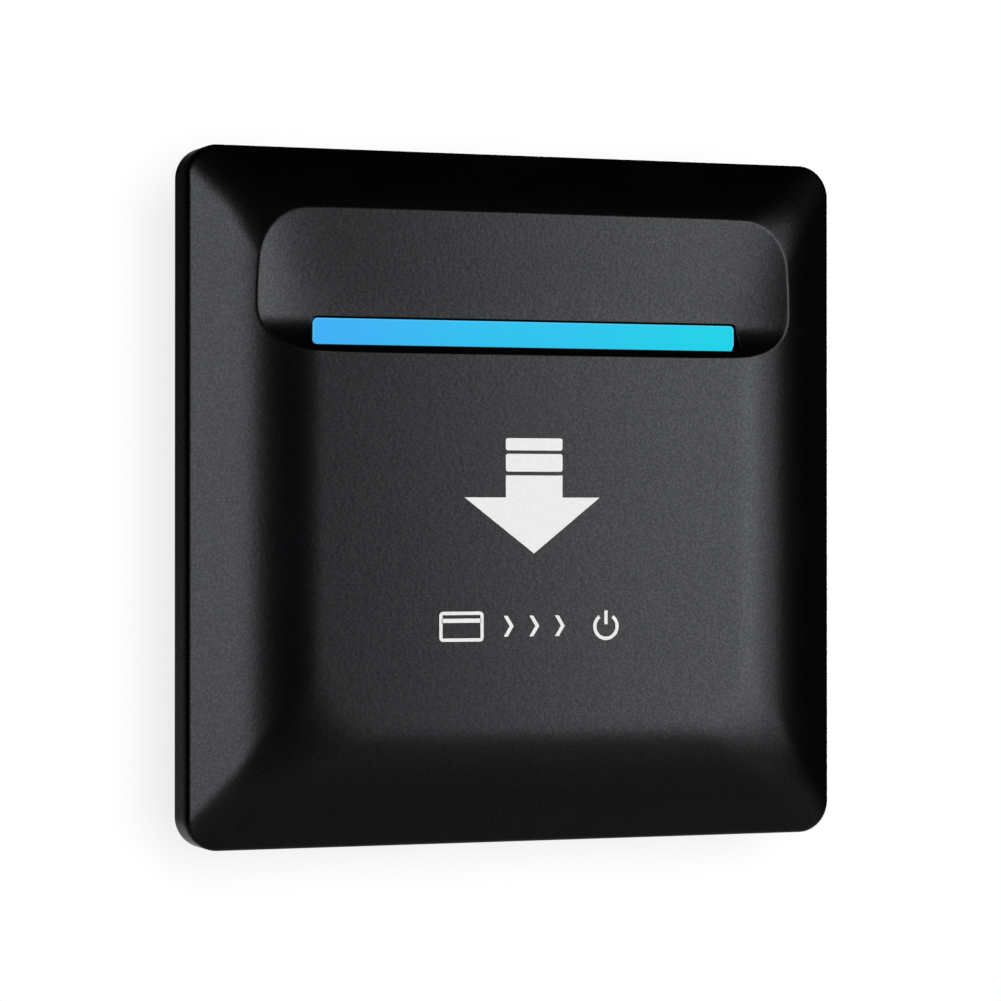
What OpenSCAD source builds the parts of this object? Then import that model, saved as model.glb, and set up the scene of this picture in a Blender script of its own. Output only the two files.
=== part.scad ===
// Key card switch for a square wall box: a card pushed into the lit slot moves a lever that closes a switch.
// X is to the right, Y goes into the wall and Z is up. The wall's surface is the plane y = 0, and the origin
// is midway between the two wall screws. A height is counted from the wall towards the front.

/* [Front cover] */
// Width and height of the square cover
plate_size = 86; // [84:0.5:92]
// Height of the cover's front edge
rim_h = 5.65; // [5.2:0.05:6.2]
// Height of the flat face
face_h = 11.2; // [11:0.1:11.8]
// Thickness of the skirt that stands on the wall
skirt_wall = 2; // [1.6:0.1:2.4]
// Thickness of the bevel, the face and the recess floor
face_wall = 1.2; // [1:0.1:1.4]
// Corner radius of the cover's outline
corner_r = 4; // [3:0.5:6]
// Corner radius of the flat face's outline
face_corner_r = 8; // [6:0.5:12]
// Rounding of the front edge
edge_r = 0.65; // [0.4:0.05:0.9]
// Slope of the bevel, in degrees
bevel_angle = 31; // [29:0.5:33]
// Width of the straight part of the bevel
bevel_w = 4; // [3.5:0.25:5]
// Distance of the cover's push-fit pins from the cover's edges
post_in = 9; // [8.5:0.25:9.5]
// Diameter of the cover's push-fit pins
post_d = 4; // [3:0.1:4.4]
// Height at which the pins end above the wall
post_end_h = 1.6; // [1.4:0.1:2.4]

/* [Recess and slot] */
// Depth of the recess floor below the flat face
recess_depth = 2.1; // [1.9:0.05:2.3]
// Rise of the recess floor for each millimetre towards its top
top_rise = 0.06; // [0.03:0.01:0.08]
// Rise of the recess floor for each millimetre towards its ends
end_rise = 0.08; // [0.05:0.01:0.1]
// Distance from the middle at which the floor starts to rise to its ends
floor_flat = 27; // [25:0.5:29]
// Height of the lip's front edge above the middle of the plate
lip_z = 17.7; // [17:0.1:18.5]
// Height of the curved back of the lip
lip_roll = 5.6; // [5.2:0.1:6]
// Strip between the lip's front edge and the slot
lip_strip = 0.95; // [0.8:0.05:1.1]
// Width of the card slot
slot_w = 56.4; // [56:0.1:57.2]
// Height of the card slot seen from the front
slot_h = 3.4; // [3.2:0.1:3.8]
// Corner radius of the slot
slot_r = 0.55; // [0.3:0.05:0.9]

/* [Card pocket] */
// Width of the card
card_w = 54; // [53.5:0.1:54.5]
// Play of the card at each side
card_play = 0.6; // [0.4:0.1:0.8]
// Length of card that goes in below the lip
card_depth = 46; // [44:0.5:46]
// Depth of the pocket behind the face
pocket_depth = 4.2; // [4.1:0.1:4.4]
// Thickness of the tray's floor
tray_t = 1.5; // [1.2:0.1:1.6]
// Thickness of the tray's side walls and stop
tray_wall = 1.6; // [1.2:0.1:1.8]
// Height of the guide ribs above the tray's floor
rib_h = 2.6; // [2.2:0.1:2.8]
// Width of a guide rib
rib_w = 2; // [1.5:0.1:3]
// Distance of a guide rib from the middle
rib_at = 23; // [20:0.5:24]
// Distance of a foot's middle from the tray's side
tray_foot_out = 2.2; // [2:0.1:2.4]
// Distance of the feet from the tray's upper and lower end
tray_foot_in = [4.8, 5.9];
// Radius of a tray foot
tray_foot_r = 2.3; // [2.1:0.1:2.4]
// Thickness of a tray foot's arm
tray_arm_t = 1; // [0.8:0.1:1.2]
// Half the height of the notch that clears a wall screw's head
notch_half = 6; // [5:0.25:6.5]
// Room from a wall screw's axis to that notch's side
notch_room = 4.75; // [4.5:0.05:4.9]

/* [Wall mount] */
// Distance between the two wall screws
screw_spacing = 60.3; // [60:0.1:60.6]
// Width of a wall screw slot
screw_slot_d = 4.5; // [4:0.1:5]
// Length of a wall screw slot
screw_slot_l = 7; // [6:0.5:7.5]
// Thickness of the mounting frame
frame_t = 3; // [2.6:0.1:3.1]
// Height of the frame's outer rib
frame_rib_h = 4.6; // [4:0.1:4.8]
// Width of the frame's outer rib
frame_rib_w = 1.6; // [1.2:0.1:2]
// Gap between the cover and what is inside it
cover_gap = 0.3; // [0.25:0.05:0.4]
// Wall around a push-fit pin's socket
socket_wall = 1.4; // [1:0.1:1.6]
// Height of a push-fit pin's socket
socket_h = 4.6; // [4:0.1:4.8]

/* [Light guide] */
// Distance from the recess floor back to the guide's nose
nose_sink = 0.1; // [0.05:0.05:0.3]
// Gap around the guide's nose in the slot
nose_gap = 0.15; // [0.1:0.05:0.3]
// Height of the flat top of the nose
nose_flat = 2.4; // [2:0.1:2.6]
// How far the guide reaches past the slot at each end
guide_side = 1.8; // [1.6:0.1:2]
// How far the guide reaches below the lip's edge
guide_drop = 2.2; // [2:0.1:2.6]
// How far the guide reaches above the slot
guide_rise = 2.9; // [2.6:0.1:3.2]
// Thickness of the strip board behind the guide
led_board_t = 1; // [0.8:0.1:1.2]
// Height of the strip board
led_board_l = 8; // [7.6:0.1:8.4]
// Height of the tabs at the strip board's ends
led_tab_l = 3.5; // [3.4:0.1:3.8]
// Width, height and thickness of one lamp
led_size = [3.5, 2.8, 0.9];
// Number of lamps
led_count = 6; // [4:1:6]
// Distance between lamps
led_pitch = 8.4; // [6:0.2:8.6]
// Gap between the lamps and the guide
led_gap = 0.2; // [0.1:0.05:0.3]

/* [Card lever] */
// Gap between the lever's end and the housing's lower wall
lever_in = 0.9; // [0.7:0.05:1.2]
// Distance from the pivot down to the nose
nose_arm = 13; // [12:0.25:13]
// Distance from the pivot down to the switch plunger
plunger_arm = 7; // [6.6:0.1:7]
// Length of the lever below the pivot
arm_l = 19.5; // [19.25:0.25:20]
// Width of the lever
lever_w = 8; // [7:0.1:8.6]
// How far the nose stands out past the guide ribs
nose_reach = 1.3; // [1:0.05:1.5]
// Radius of the nose's tip
nose_r = 0.9; // [0.7:0.05:1]
// Diameter of the pivot pin
pin_d = 2; // [1.6:0.1:2.2]
// Radius of the lever's barrel
barrel_r = 2.2; // [2:0.1:2.3]
// Thickness of the lugs that hold the pin
lug_t = 1.8; // [1.4:0.1:2.2]
// Gap between a lug and the lever, which holds the spring
lug_gap = 2.6; // [2.4:0.1:2.8]
// Diameter of the spring's wire
spring_wire = 0.4; // [0.3:0.05:0.45]
// Number of turns of the spring
spring_turns = 3; // [2:1:3]

/* [Switch and boards] */
// Width, height and depth of the microswitch
switch_size = [12.8, 5.8, 6.2];
// How far the plunger stands out of the microswitch
plunger_out = 1.3; // [1.2:0.05:1.5]
// Width and height of the plunger
plunger_size = [2.8, 1.4];
// Thickness of the main board
board_t = 1.6; // [1.2:0.1:2]
// Gap between the main board and the housing's walls
board_gap = 1; // [0.8:0.1:1.2]
// Distance of the board's screws from its edges
board_hole_in = 2.8; // [2.6:0.1:3]
// Diameter of a component's lead
lead_d = 1; // [0.6:0.05:1.1]

/* [Rear housing] */
// Width and height of the housing
housing_size = [48, 60];
// Thickness of the housing's walls
housing_wall = 1.6; // [1.2:0.1:1.8]
// Corner radius of the housing
housing_r = 2; // [1:0.25:3]
// Room behind the main board
housing_room = 16.4; // [16.2:0.1:18]
// Room behind the board beside the terminal block
terminal_room = 1.8; // [1.6:0.1:2.4]
// Distance of the ears' ends from the housing's sides
ear_side = 4; // [3:0.25:5]
// Thickness of the ears
ear_t = 1.2; // [1:0.1:1.4]
// Distance of the ears' screws from the ears' ends
ear_hole_in = 5; // [4:0.25:6]

/* [Terminals] */
// Number of terminals
terminal_count = 4; // [2:1:4]
// Distance between terminals
terminal_pitch = 7.5; // [7.3:0.05:7.6]
// Height of the block behind the board
block_h = 16; // [15.6:0.1:17]
// Distance of the block from the housing's lower wall
block_in = 2.4; // [2:0.1:2.6]
// Length of the block from its lower end up
block_l = 12; // [11.8:0.1:12.2]
// Diameter of a wire entry
wire_d = 3.2; // [2.4:0.1:3.6]
// Wall that the wire entry goes through
wire_wall = 2.8; // [2.4:0.1:3]
// Width, length and height of a clamping cage
cage_size = [5.8, 5.8, 7];
// Thickness of a cage's sides and floor
cage_wall = 0.9; // [0.7:0.05:1]
// Thickness of a cage's threaded top
cage_top = 1.4; // [1.2:0.1:1.6]
// Height of a cage above the board when open
cage_rest = 3; // [2.9:0.1:3.2]
// Travel of a cage
cage_lift = 2; // [1.6:0.1:2]
// Room for the wire in an open cage
wire_room = 2.9; // [2.8:0.05:3]
// Thickness of a current bar
bar_t = 1; // [0.8:0.05:1.1]
// Diameter of a terminal screw's thread
terminal_screw_d = 3; // [2.5:0.1:3.2]
// Diameter and height of a terminal screw's head
terminal_head = [4.8, 2];

/* [Clearances] */
// Gap of a pin that turns or slides in its hole
run_gap = 0.05; // [0.03:0.01:0.08]
// Gap of a part that moves between flat faces
slide_gap = 0.1; // [0.08:0.01:0.15]
// Gap of a part that is fixed beside another
fix_gap = 0.2; // [0.1:0.05:0.25]

/* [Hidden] */
$fn = 48;
thin = 0.01;
over = 1;

// Screws: head diameter, head height, thread diameter, length under the head
tray_screw = [3.6, 1.2, 1.8, 4.2];
led_screw = [3.2, 0.9, 1.6, 3];
board_screw = [4, 1.3, 2, 4.2];
housing_screw = [4.2, 1.5, 2.2, 3.8];

// Cover: the bevel's roll into the face, rows of inset from the edge and height, and the roll's normals
roll_r = (face_h - rim_h - bevel_w * tan(bevel_angle)) / (1 - cos(bevel_angle));
roll_end = bevel_w + roll_r * sin(bevel_angle);
edge_run = edge_r * tan(45 - bevel_angle / 2);
edge_steps = 3;
roll_steps = 7;
edge_turn = [for (i = [0 : edge_steps]) 180 - (90 - bevel_angle) * i / edge_steps];
roll_turn = [for (i = [0 : roll_steps]) 90 + bevel_angle * (1 - i / roll_steps)];
edge_rows = [for (a = edge_turn) [edge_r * (1 + cos(a)), rim_h - edge_run + edge_r * sin(a)]];
roll_rows = [for (a = roll_turn) [roll_end + roll_r * cos(a), face_h - roll_r + roll_r * sin(a)]];
roll_normals = [for (a = roll_turn) [cos(a), sin(a)]];
corner_steps = 8;

// Recess and slot
floor_h = face_h - recess_depth;
recess_r = (lip_roll * lip_roll + recess_depth * recess_depth) / (2 * recess_depth);
recess_axis = [-(floor_h + recess_r), lip_z + lip_roll];
slot_z = lip_z + lip_strip;
slot_top = slot_z + slot_h;
slot_mid = slot_z + slot_h / 2;
inner_face_h = face_h - face_wall;
cheek_z = lip_z - face_wall;
cheek_x = slot_w / 2 - nose_gap / 2;

// Frame
frame_half = plate_size / 2 - skirt_wall - cover_gap;
frame_r = max(corner_r - skirt_wall - cover_gap, slot_r);
post_at = plate_size / 2 - post_in;
socket_r = post_d / 2 + socket_wall;
post_root = 0.7;
post_top_h = floor_h - face_wall + post_root;

// Light guide and its board
led_z = slot_mid - led_board_l / 2;
led_board_half = slot_w / 2 - 2 * fix_gap;
led_front_h = frame_t + led_board_t;
guide_back_h = led_front_h + led_size[2] + led_gap;
guide_half = slot_w / 2 + guide_side;
guide_flange_h = floor_h - face_wall - cover_gap;
guide_z = lip_z - guide_drop;
guide_top = slot_top + guide_rise;
nose_h = floor_h - nose_sink;
nose_top = slot_top - nose_gap;
nose_edge = nose_top - nose_flat;
peg_d = 1.4;
peg_at = (led_board_half + fix_gap + guide_half) / 2;
led_tab_z = led_z + led_tab_l / 2;
led_tab_half = peg_at + led_screw[0] / 2;
guide_foot_in = 1;
guide_foot_z = led_z + led_tab_l + fix_gap;
guide_foot_l = led_z + led_board_l - guide_foot_in - guide_foot_z;
peg_z = guide_foot_z + guide_foot_l / 2;
header_pitch = 2.54;
header_in = 1.4;
header_z = led_z + led_board_l - header_in;
header_size = [5.2, 2.6, 2.5];

// Tray
tray_floor_h = inner_face_h - pocket_depth;
tray_back_h = tray_floor_h - tray_t;
pocket_half = card_w / 2 + card_play;
tray_half = pocket_half + tray_wall;
stop_z = lip_z - card_depth;
tray_z = stop_z - tray_wall;
tray_top = guide_z - fix_gap;
tray_foot_at = tray_half + tray_foot_out;
tray_foot_z = [tray_top - tray_foot_in[0], tray_z + tray_foot_in[1]];
tray_foot_h = tray_back_h + tray_arm_t;
notch_from = screw_spacing / 2 - notch_room;
slope_per_z = (nose_h - tray_floor_h) / (nose_edge - guide_z);

// Housing's outline, and the lever, which reaches down to its lower wall
housing_half = housing_size / 2;
inner_half = [housing_half[0] - housing_wall, housing_half[1] - housing_wall];
pivot_z = arm_l + lever_in - inner_half[1];
pivot_back = 1.4;
arm_back = 1;
arm_rest = 0.4;
pivot_h = tray_back_h - pivot_back;
arm_back_h = pivot_h - arm_back;
arm_front_h = tray_back_h - arm_rest;
pad_t = 0.3;
pad_l = 2;
end_pad_l = 1.5;
tip_share = 0.55;
window_end = 2;
nose_tip_h = tray_floor_h + rib_h + nose_reach;
nose_mid_z = pivot_z - nose_arm;
nose_rise = 4.6;
nose_fall = 2.6;
lever_gap = 0.6;
lug_at = lever_w / 2 + lug_gap;
pin_l = 2 * (lug_at + lug_t);
lug_half = barrel_r;
spring_play = 0.1;
spring_in = 0.5;
spring_r = pin_d / 2 + spring_wire / 2 + spring_play;
spring_from = lever_w / 2 + spring_in;
spring_pitch = 0.5;
hook_drop = 4;
hook_turn = [0.3, 0.4];
leg_rise = 4.6;
spring_sides = 8;
turn_steps = 12;

// Boards, set back by the switch that stands between the lever and the main board
switch_z = pivot_z - plunger_arm;
plunger_tip_y = -(arm_back_h - pad_t) + slide_gap;
switch_front_y = plunger_tip_y + plunger_out;
board_y = switch_front_y + switch_size[2];
board_back_y = board_y + board_t;
plunger_in = 2.4;
plunger_travel = 1;
lead_gap = 0.1;
lead_y = board_y + lead_gap;

// Housing
board_size = [2 * (inner_half[0] - board_gap), 2 * (inner_half[1] - board_gap)];
board_hole = [board_size[0] / 2 - board_hole_in, board_size[1] / 2 - board_hole_in];
block_z = -inner_half[1] + block_in;
deep_y = board_back_y + housing_room;
shallow_y = board_back_y + terminal_room;
step_gap = 1.2;
step_z = block_z + block_l + step_gap;
boss_r = 2.4;
ear_edge = 0.2;
ear_w = housing_size[0] - 2 * ear_side;
ear_hole_at = ear_w / 2 - ear_hole_in;
ear_hole_z = (housing_half[1] + frame_half - frame_rib_w) / 2;
ear_l = ear_hole_z - housing_half[1] + housing_screw[0] / 2 + ear_edge;

// Sizes of the parts on the main board: width, height and depth, or diameter and depth
relay_size = [28.5, 12.7, 15.3];
film_size = [18, 8.5, 14];
rectifier_size = [8.4, 6.4, 3.2];
chip_size = [5, 4, 1.5];
varistor_size = [9, 4];
electrolytic_size = [10, 14];
fuse_size = [8.4, 8];
choke_size = [8, 10];
resistor_size = [3.2, 1.6, 0.6];
leg_size = [0.5, 2];

// Places of those parts: a stack at each side from the housing's step up, and a row on the board's front
part_gap = 0.6;
left_x = -inner_half[0] + part_gap;
right_x = inner_half[0] - part_gap;
stack_z = step_z + housing_wall + part_gap;
relay_at = [left_x + relay_size[0] / 2, stack_z + relay_size[1] / 2];
film_z = stack_z + relay_size[1] + part_gap;
film_at = [left_x + film_size[0] / 2, film_z + film_size[1] / 2];
upper_z = film_z + film_size[1] + part_gap;
choke_at = [film_at[0] + 2 * part_gap, upper_z + choke_size[0] / 2];
rectifier_at = [part_gap, upper_z + (rectifier_size[1] + leg_size[1]) / 2];
electrolytic_at = [right_x - electrolytic_size[0] / 2, stack_z + electrolytic_size[0] / 2];
varistor_z = stack_z + electrolytic_size[0] + part_gap;
varistor_at = [right_x - varistor_size[0] / 2, varistor_z + varistor_size[1] / 2];
fuse_z = varistor_z + varistor_size[1] + part_gap;
fuse_at = [right_x - fuse_size[0] / 2, fuse_z + fuse_size[0] / 2];
resistor_in = 5.4;
resistor_z = 6;
resistor_pitch = 5;
resistor_count = 5;
chip_gap = 2;
resistor_from = [resistor_in - board_size[0] / 2, resistor_z];
chip_at = [resistor_from[0] + resistor_count * resistor_pitch + chip_gap / 2, resistor_z - chip_gap];
resistor_at = [for (i = [0 : resistor_count - 1]) resistor_from + [resistor_pitch * i, 0]];
stand_off = 1;
lead_spread = 5;
film_spread = 15;
switch_pitch = 5.08;

// Flat legs: pitch and thickness on the rectifier and on the chip
rectifier_leg = [5, 0.4];
chip_leg = [1.27, 0.3];

// Terminals
block_side = 0.2;
bar_play = 0.2;
bar_leg_gap = 1;
neck_l = 1.2;
block_w = terminal_count * terminal_pitch + 2 * block_side;
terminal_x = [for (i = [0 : terminal_count - 1]) (i - (terminal_count - 1) / 2) * terminal_pitch];
cage_z = block_z + wire_wall + slide_gap;
cage_mid_z = cage_z + cage_size[1] / 2;
bar_y = board_back_y + cage_rest + cage_wall + wire_room;
bar_w = cage_size[0] - 2 * cage_wall - 2 * bar_play;
bar_leg_z = cage_z + cage_size[1] + bar_leg_gap;
wire_y = board_back_y + cage_rest + cage_wall + wire_room / 2;
shoulder_y = board_back_y + cage_rest + cage_size[2] + cage_lift + fix_gap;
head_seat_y = shoulder_y + neck_l;
screw_tip_y = bar_y + bar_t + fix_gap;
driver_slot = 0.8;

// Lead positions on the main board: across and up
relay_leads = [[-11.5, 0], [-11.5, 4.4], [3, -4.4], [11, -4.4], [11, 4.4]];
relay_lead_at = [for (l = relay_leads) relay_at + l];
film_lead_at = [for (s = [-1, 1]) [film_at[0] + s * film_spread / 2, film_at[1]]];
round_part_at = [electrolytic_at, varistor_at, fuse_at, choke_at];
round_lead_at = [for (a = round_part_at) for (s = [-1, 1]) [a[0] + s * lead_spread / 2, a[1]]];
switch_lead_at = [for (s = [-1, 0, 1]) [s * switch_pitch, switch_z]];
header_lead_at = [for (s = [-1, 1]) [s * header_pitch / 2, header_z]];
bar_lead_at = [for (x = terminal_x) [x, bar_leg_z + bar_t / 2]];
lead_at = concat(relay_lead_at, film_lead_at, round_lead_at, switch_lead_at, header_lead_at, bar_lead_at);

// Raises an outline in X and Z from one height to another
module raise(from, to) {
  translate([0, -from, 0]) rotate([90, 0, 0]) linear_extrude(to - from) children();
}

// Carries a profile in Y and Z over a width across X
module across(width) {
  rotate([90, 0, 90]) linear_extrude(width, center = true) children();
}

// A box around a middle line, between two depths
module slab(mid_x, mid_z, w, h, y0, y1) {
  translate([mid_x - w / 2, y0, mid_z - h / 2]) cube([w, y1 - y0, h]);
}

// A round bar along Y between two depths
module bar_y_dir(x, z, d, y0, y1) {
  translate([x, y1, z]) rotate([90, 0, 0]) cylinder(d = d, h = y1 - y0);
}

// A round bar along X at the lever's pivot
module pivot_bar(d, l) {
  translate([0, -pivot_h, pivot_z]) rotate([0, 90, 0]) cylinder(d = d, h = l, center = true);
}

// A rectangle with round corners, about its middle
module round_rect(w, h, r) {
  square([w - 2 * r, h], center = true);
  square([w, h - 2 * r], center = true);
  for (x = [-1, 1], y = [-1, 1])
    translate([x * (w / 2 - r), y * (h / 2 - r)]) circle(r);
}

// A cross-slotted screw whose head stands on a seat and faces the front
module front_screw(x, z, seat_h, size) {
  translate([x, -seat_h, z]) rotate([90, 0, 0]) {
    difference() {
      cylinder(d = size[0], h = size[1]);
      for (turn = [0, 90])
        rotate(turn) translate([-size[0] / 3, -size[0] / 16, size[1] / 2])
          cube([size[0] / 1.5, size[0] / 8, size[1]]);
    }
    translate([0, 0, -size[3]]) cylinder(d = size[2], h = size[3]);
  }
}

// Faces over rings of points: a lid on the first ring, four-sided faces between rings and a lid on the last
function first_lid(sides) = [[for (k = [0 : sides - 1]) k]];
function last_lid(rings, sides) = [[for (k = [sides - 1 : -1 : 0]) (rings - 1) * sides + k]];
function skin(rings, sides) =
  [for (i = [0 : rings - 2], k = [0 : sides - 1])
   let (n = (k + 1) % sides, a = i * sides, b = a + sides) [a + k, b + k, b + n, a + n]];

// The pillow's rows, moved in by a skirt and a wall thickness: inset, height and corner radius
function contour_r(inset) = corner_r + (face_corner_r - corner_r) * inset / roll_end;
function foot_row(skirt, height) = [skirt, height, corner_r - skirt];
function edge_row(row) = [row[0], row[1], contour_r(row[0])];
function roll_row(row, normal, wall) =
  [row[0] - normal[0] * wall, row[1] - normal[1] * wall, contour_r(row[0]) + normal[0] * wall];
function bevel_start_h(skirt, wall) = rim_h + skirt * tan(bevel_angle) - wall / cos(bevel_angle);
function pillow_rows(skirt, wall, base_h) =
  concat([foot_row(skirt, base_h)],
         wall > 0 ? [foot_row(skirt, bevel_start_h(skirt, wall))] : [for (row = edge_rows) edge_row(row)],
         [for (i = [0 : roll_steps]) roll_row(roll_rows[i], roll_normals[i], wall)]);

// One row's points, round a square with round corners
function contour(row) =
  [for (quarter = [0 : 3], k = [0 : corner_steps])
   let (a = 90 * (quarter + k / corner_steps), mid = 45 + 90 * quarter,
        reach = plate_size / 2 - row[0] - row[2])
   [sign(cos(mid)) * reach + row[2] * cos(a), -row[1], sign(sin(mid)) * reach + row[2] * sin(a)]];

// The cover's pillow form, moved in by a skirt and a wall thickness, from a base height up
module pillow(skirt, wall, base_h) {
  rows = pillow_rows(skirt, wall, base_h);
  sides = 4 * (corner_steps + 1);
  points = [for (row = rows) each contour(row)];
  polyhedron(points, concat(first_lid(sides), skin(len(rows), sides), last_lid(len(rows), sides)));
}

// The space of the recess in front of its floor and behind the lip
module recess() {
  reach = plate_size / 2 + over;
  front = face_h + over;
  low_z = recess_axis[1] - recess_r;
  end_h = floor_h + end_rise * (reach - floor_flat);
  difference() {
    across(2 * reach) {
      translate(recess_axis) circle(recess_r);
      polygon([[-front, recess_axis[1]], [-floor_h, recess_axis[1]],
               [-floor_h - top_rise * (reach - recess_axis[1]), reach], [-front, reach]]);
    }
    translate([0, 0, low_z]) linear_extrude(reach - low_z)
      polygon([[0, end_rise * floor_flat - floor_h], [reach, -end_h], [reach, 0], [-reach, 0], [-reach, -end_h]]);
  }
}

module front_cover() {
  color([0.05, 0.05, 0.055]) {
    difference() {
      pillow(0, 0, 0);
      difference() {
        pillow(skirt_wall, face_wall, -over);
        slab(0, slot_mid + plate_size / 4, plate_size, plate_size / 2, -face_h, -(floor_h - face_wall));
        for (x = [-1, 1])
          slab(x * (cheek_x + plate_size / 4), (cheek_z + slot_top) / 2, plate_size / 2, slot_top - cheek_z,
               -face_h, -(floor_h - face_wall));
      }
      recess();
      translate([0, 0, slot_mid])
        raise(floor_h - face_wall - over, face_h + over) round_rect(slot_w, slot_h, slot_r);
    }
    for (x = [-1, 1], z = [-1, 1])
      bar_y_dir(x * post_at, z * post_at, post_d, -post_top_h, -post_end_h);
  }
}

module light_guide() {
  flange_z = guide_z + (guide_flange_h - tray_floor_h) / slope_per_z;
  nose_profile = [[-guide_back_h, guide_z], [-tray_floor_h, guide_z], [-nose_h, nose_edge],
                  [-nose_h, nose_top], [-guide_back_h, nose_top]];
  flange_profile = [[-guide_back_h, guide_z], [-tray_floor_h, guide_z], [-guide_flange_h, flange_z],
                    [-guide_flange_h, guide_top], [-guide_back_h, guide_top]];
  foot_w = guide_half - led_board_half - fix_gap;
  color([0.2, 0.75, 0.95]) {
    across(slot_w - 2 * nose_gap) polygon(nose_profile);
    across(2 * guide_half) polygon(flange_profile);
    for (x = [-1, 1]) {
      slab(x * peg_at, peg_z, foot_w, guide_foot_l, -guide_back_h, -frame_t);
      bar_y_dir(x * peg_at, peg_z, peg_d, -frame_t, -frame_t / 3);
    }
  }
}

module mounting_frame() {
  window = [housing_size[0] + 2 * fix_gap, housing_size[1] + 2 * fix_gap];
  color([0.82, 0.82, 0.8])
    difference() {
      union() {
        raise(0, frame_t) round_rect(2 * frame_half, 2 * frame_half, frame_r);
        raise(0, frame_rib_h)
          difference() {
            round_rect(2 * frame_half, 2 * frame_half, frame_r);
            square(2 * (frame_half - frame_rib_w), center = true);
          }
        for (x = [-1, 1], z = [-1, 1]) bar_y_dir(x * post_at, z * post_at, 2 * socket_r, -socket_h, 0);
      }
      slab(0, 0, window[0], window[1], -frame_t - over, over);
      for (x = [-1, 1]) {
        translate([x * screw_spacing / 2, 0, 0])
          raise(-over, frame_t + over) {
            square([screw_slot_l - screw_slot_d, screw_slot_d], center = true);
            for (s = [-1, 1]) translate([s * (screw_slot_l - screw_slot_d) / 2, 0]) circle(d = screw_slot_d);
          }
        bar_y_dir(x * peg_at, peg_z, peg_d + 2 * run_gap, -frame_t - over, over);
        bar_y_dir(x * peg_at, led_tab_z, led_screw[2] + 2 * run_gap, -frame_t - over, over);
        for (z = tray_foot_z)
          bar_y_dir(x * tray_foot_at, z, tray_screw[2] + 2 * run_gap, -frame_t - over, over);
        for (z = [-1, 1]) {
          bar_y_dir(x * post_at, z * post_at, post_d + 2 * run_gap,
                    -socket_h - over, 2 * fix_gap - post_end_h);
          bar_y_dir(x * ear_hole_at, z * ear_hole_z, housing_screw[2] + 2 * run_gap,
                    -frame_t - over, over);
        }
      }
    }
}

module card_tray() {
  lever_half = lever_w / 2 + lever_gap;
  window_top = pivot_z + barrel_r + lever_gap;
  window_z = pivot_z - arm_l + window_end;
  tray_mid = (tray_z + tray_top) / 2;
  tray_l = tray_top - tray_z;
  color([0.12, 0.12, 0.13])
    difference() {
      union() {
        intersection() {
          union() {
            slab(0, tray_mid, 2 * tray_half, tray_l, -tray_floor_h, -tray_back_h);
            slab(0, tray_z + tray_wall / 2, 2 * tray_half, tray_wall, -inner_face_h, -tray_back_h);
            for (x = [-1, 1]) {
              slab(x * (pocket_half + tray_wall / 2), tray_mid, tray_wall, tray_l,
                   -inner_face_h, -tray_back_h);
              slab(x * rib_at, tray_mid, rib_w, tray_l, -tray_floor_h - rib_h, -tray_back_h);
            }
          }
          pillow(skirt_wall + cover_gap, face_wall + cover_gap, 0);
        }
        for (x = [-1, 1]) {
          for (z = tray_foot_z) {
            bar_y_dir(x * tray_foot_at, z, 2 * tray_foot_r, -tray_foot_h, -frame_t);
            slab(x * (tray_foot_at - tray_foot_out / 2 - tray_wall / 2), z, tray_foot_out + tray_wall,
                 2 * tray_foot_r, -tray_foot_h, -tray_back_h);
          }
          slab(x * (lug_at + lug_t / 2), pivot_z, lug_t, 2 * lug_half, -tray_back_h - tray_t / 2,
               lug_half - pivot_h);
        }
      }
      slab(0, (pivot_z - lug_half - lever_gap + window_z) / 2, 2 * lever_half, pivot_z - lug_half - window_z,
           -tray_floor_h - over, -tray_back_h + over);
      slab(0, pivot_z, 2 * lug_at, 2 * (window_top - pivot_z), -tray_floor_h - over, -tray_back_h + over);
      pivot_bar(pin_d + run_gap, pin_l + over);
      for (x = [-1, 1]) {
        slab(x * (notch_from + tray_half) / 2, 0, tray_half - notch_from + thin, 2 * notch_half,
             -inner_face_h - over, -tray_back_h + over);
        for (z = tray_foot_z)
          bar_y_dir(x * tray_foot_at, z, tray_screw[2] + 2 * run_gap, -tray_foot_h - over, -frame_t + over);
      }
    }
}

module tray_screws() {
  color([0.7, 0.7, 0.72])
    for (x = [-1, 1], z = tray_foot_z) front_screw(x * tray_foot_at, z, tray_foot_h, tray_screw);
}

module led_board() {
  color([0.9, 0.9, 0.88])
    difference() {
      union() {
        slab(0, slot_mid, 2 * led_board_half, led_board_l, -led_front_h, -frame_t);
        slab(0, led_tab_z, 2 * led_tab_half, led_tab_l, -led_front_h, -frame_t);
      }
      for (x = [-1, 1])
        bar_y_dir(x * peg_at, led_tab_z, led_screw[2] + fix_gap, -led_front_h - over, over - frame_t);
      for (a = header_lead_at)
        bar_y_dir(a[0], a[1], lead_d + 2 * lead_gap, -led_front_h - over, over - frame_t);
    }
}

module slot_leds() {
  color([0.95, 0.95, 0.85])
    for (i = [0 : led_count - 1])
      slab((i - (led_count - 1) / 2) * led_pitch, slot_mid, led_size[0], led_size[1],
           -led_front_h - led_size[2], -led_front_h);
}

module led_board_screws() {
  color([0.7, 0.7, 0.72])
    for (x = [-1, 1]) front_screw(x * peg_at, led_tab_z, led_front_h, led_screw);
}

module led_header() {
  color([0.1, 0.1, 0.1])
    difference() {
      slab(0, header_z, header_size[0], header_size[1], board_y - header_size[2], board_y);
      for (a = header_lead_at)
        bar_y_dir(a[0], a[1], lead_d + run_gap, board_y - header_size[2] - over, board_y + over);
    }
}

module led_header_pins() {
  color([0.85, 0.7, 0.35])
    for (a = header_lead_at)
      bar_y_dir(a[0], a[1], lead_d, -led_front_h - led_size[2] / 2, board_back_y - lead_gap);
}

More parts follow.
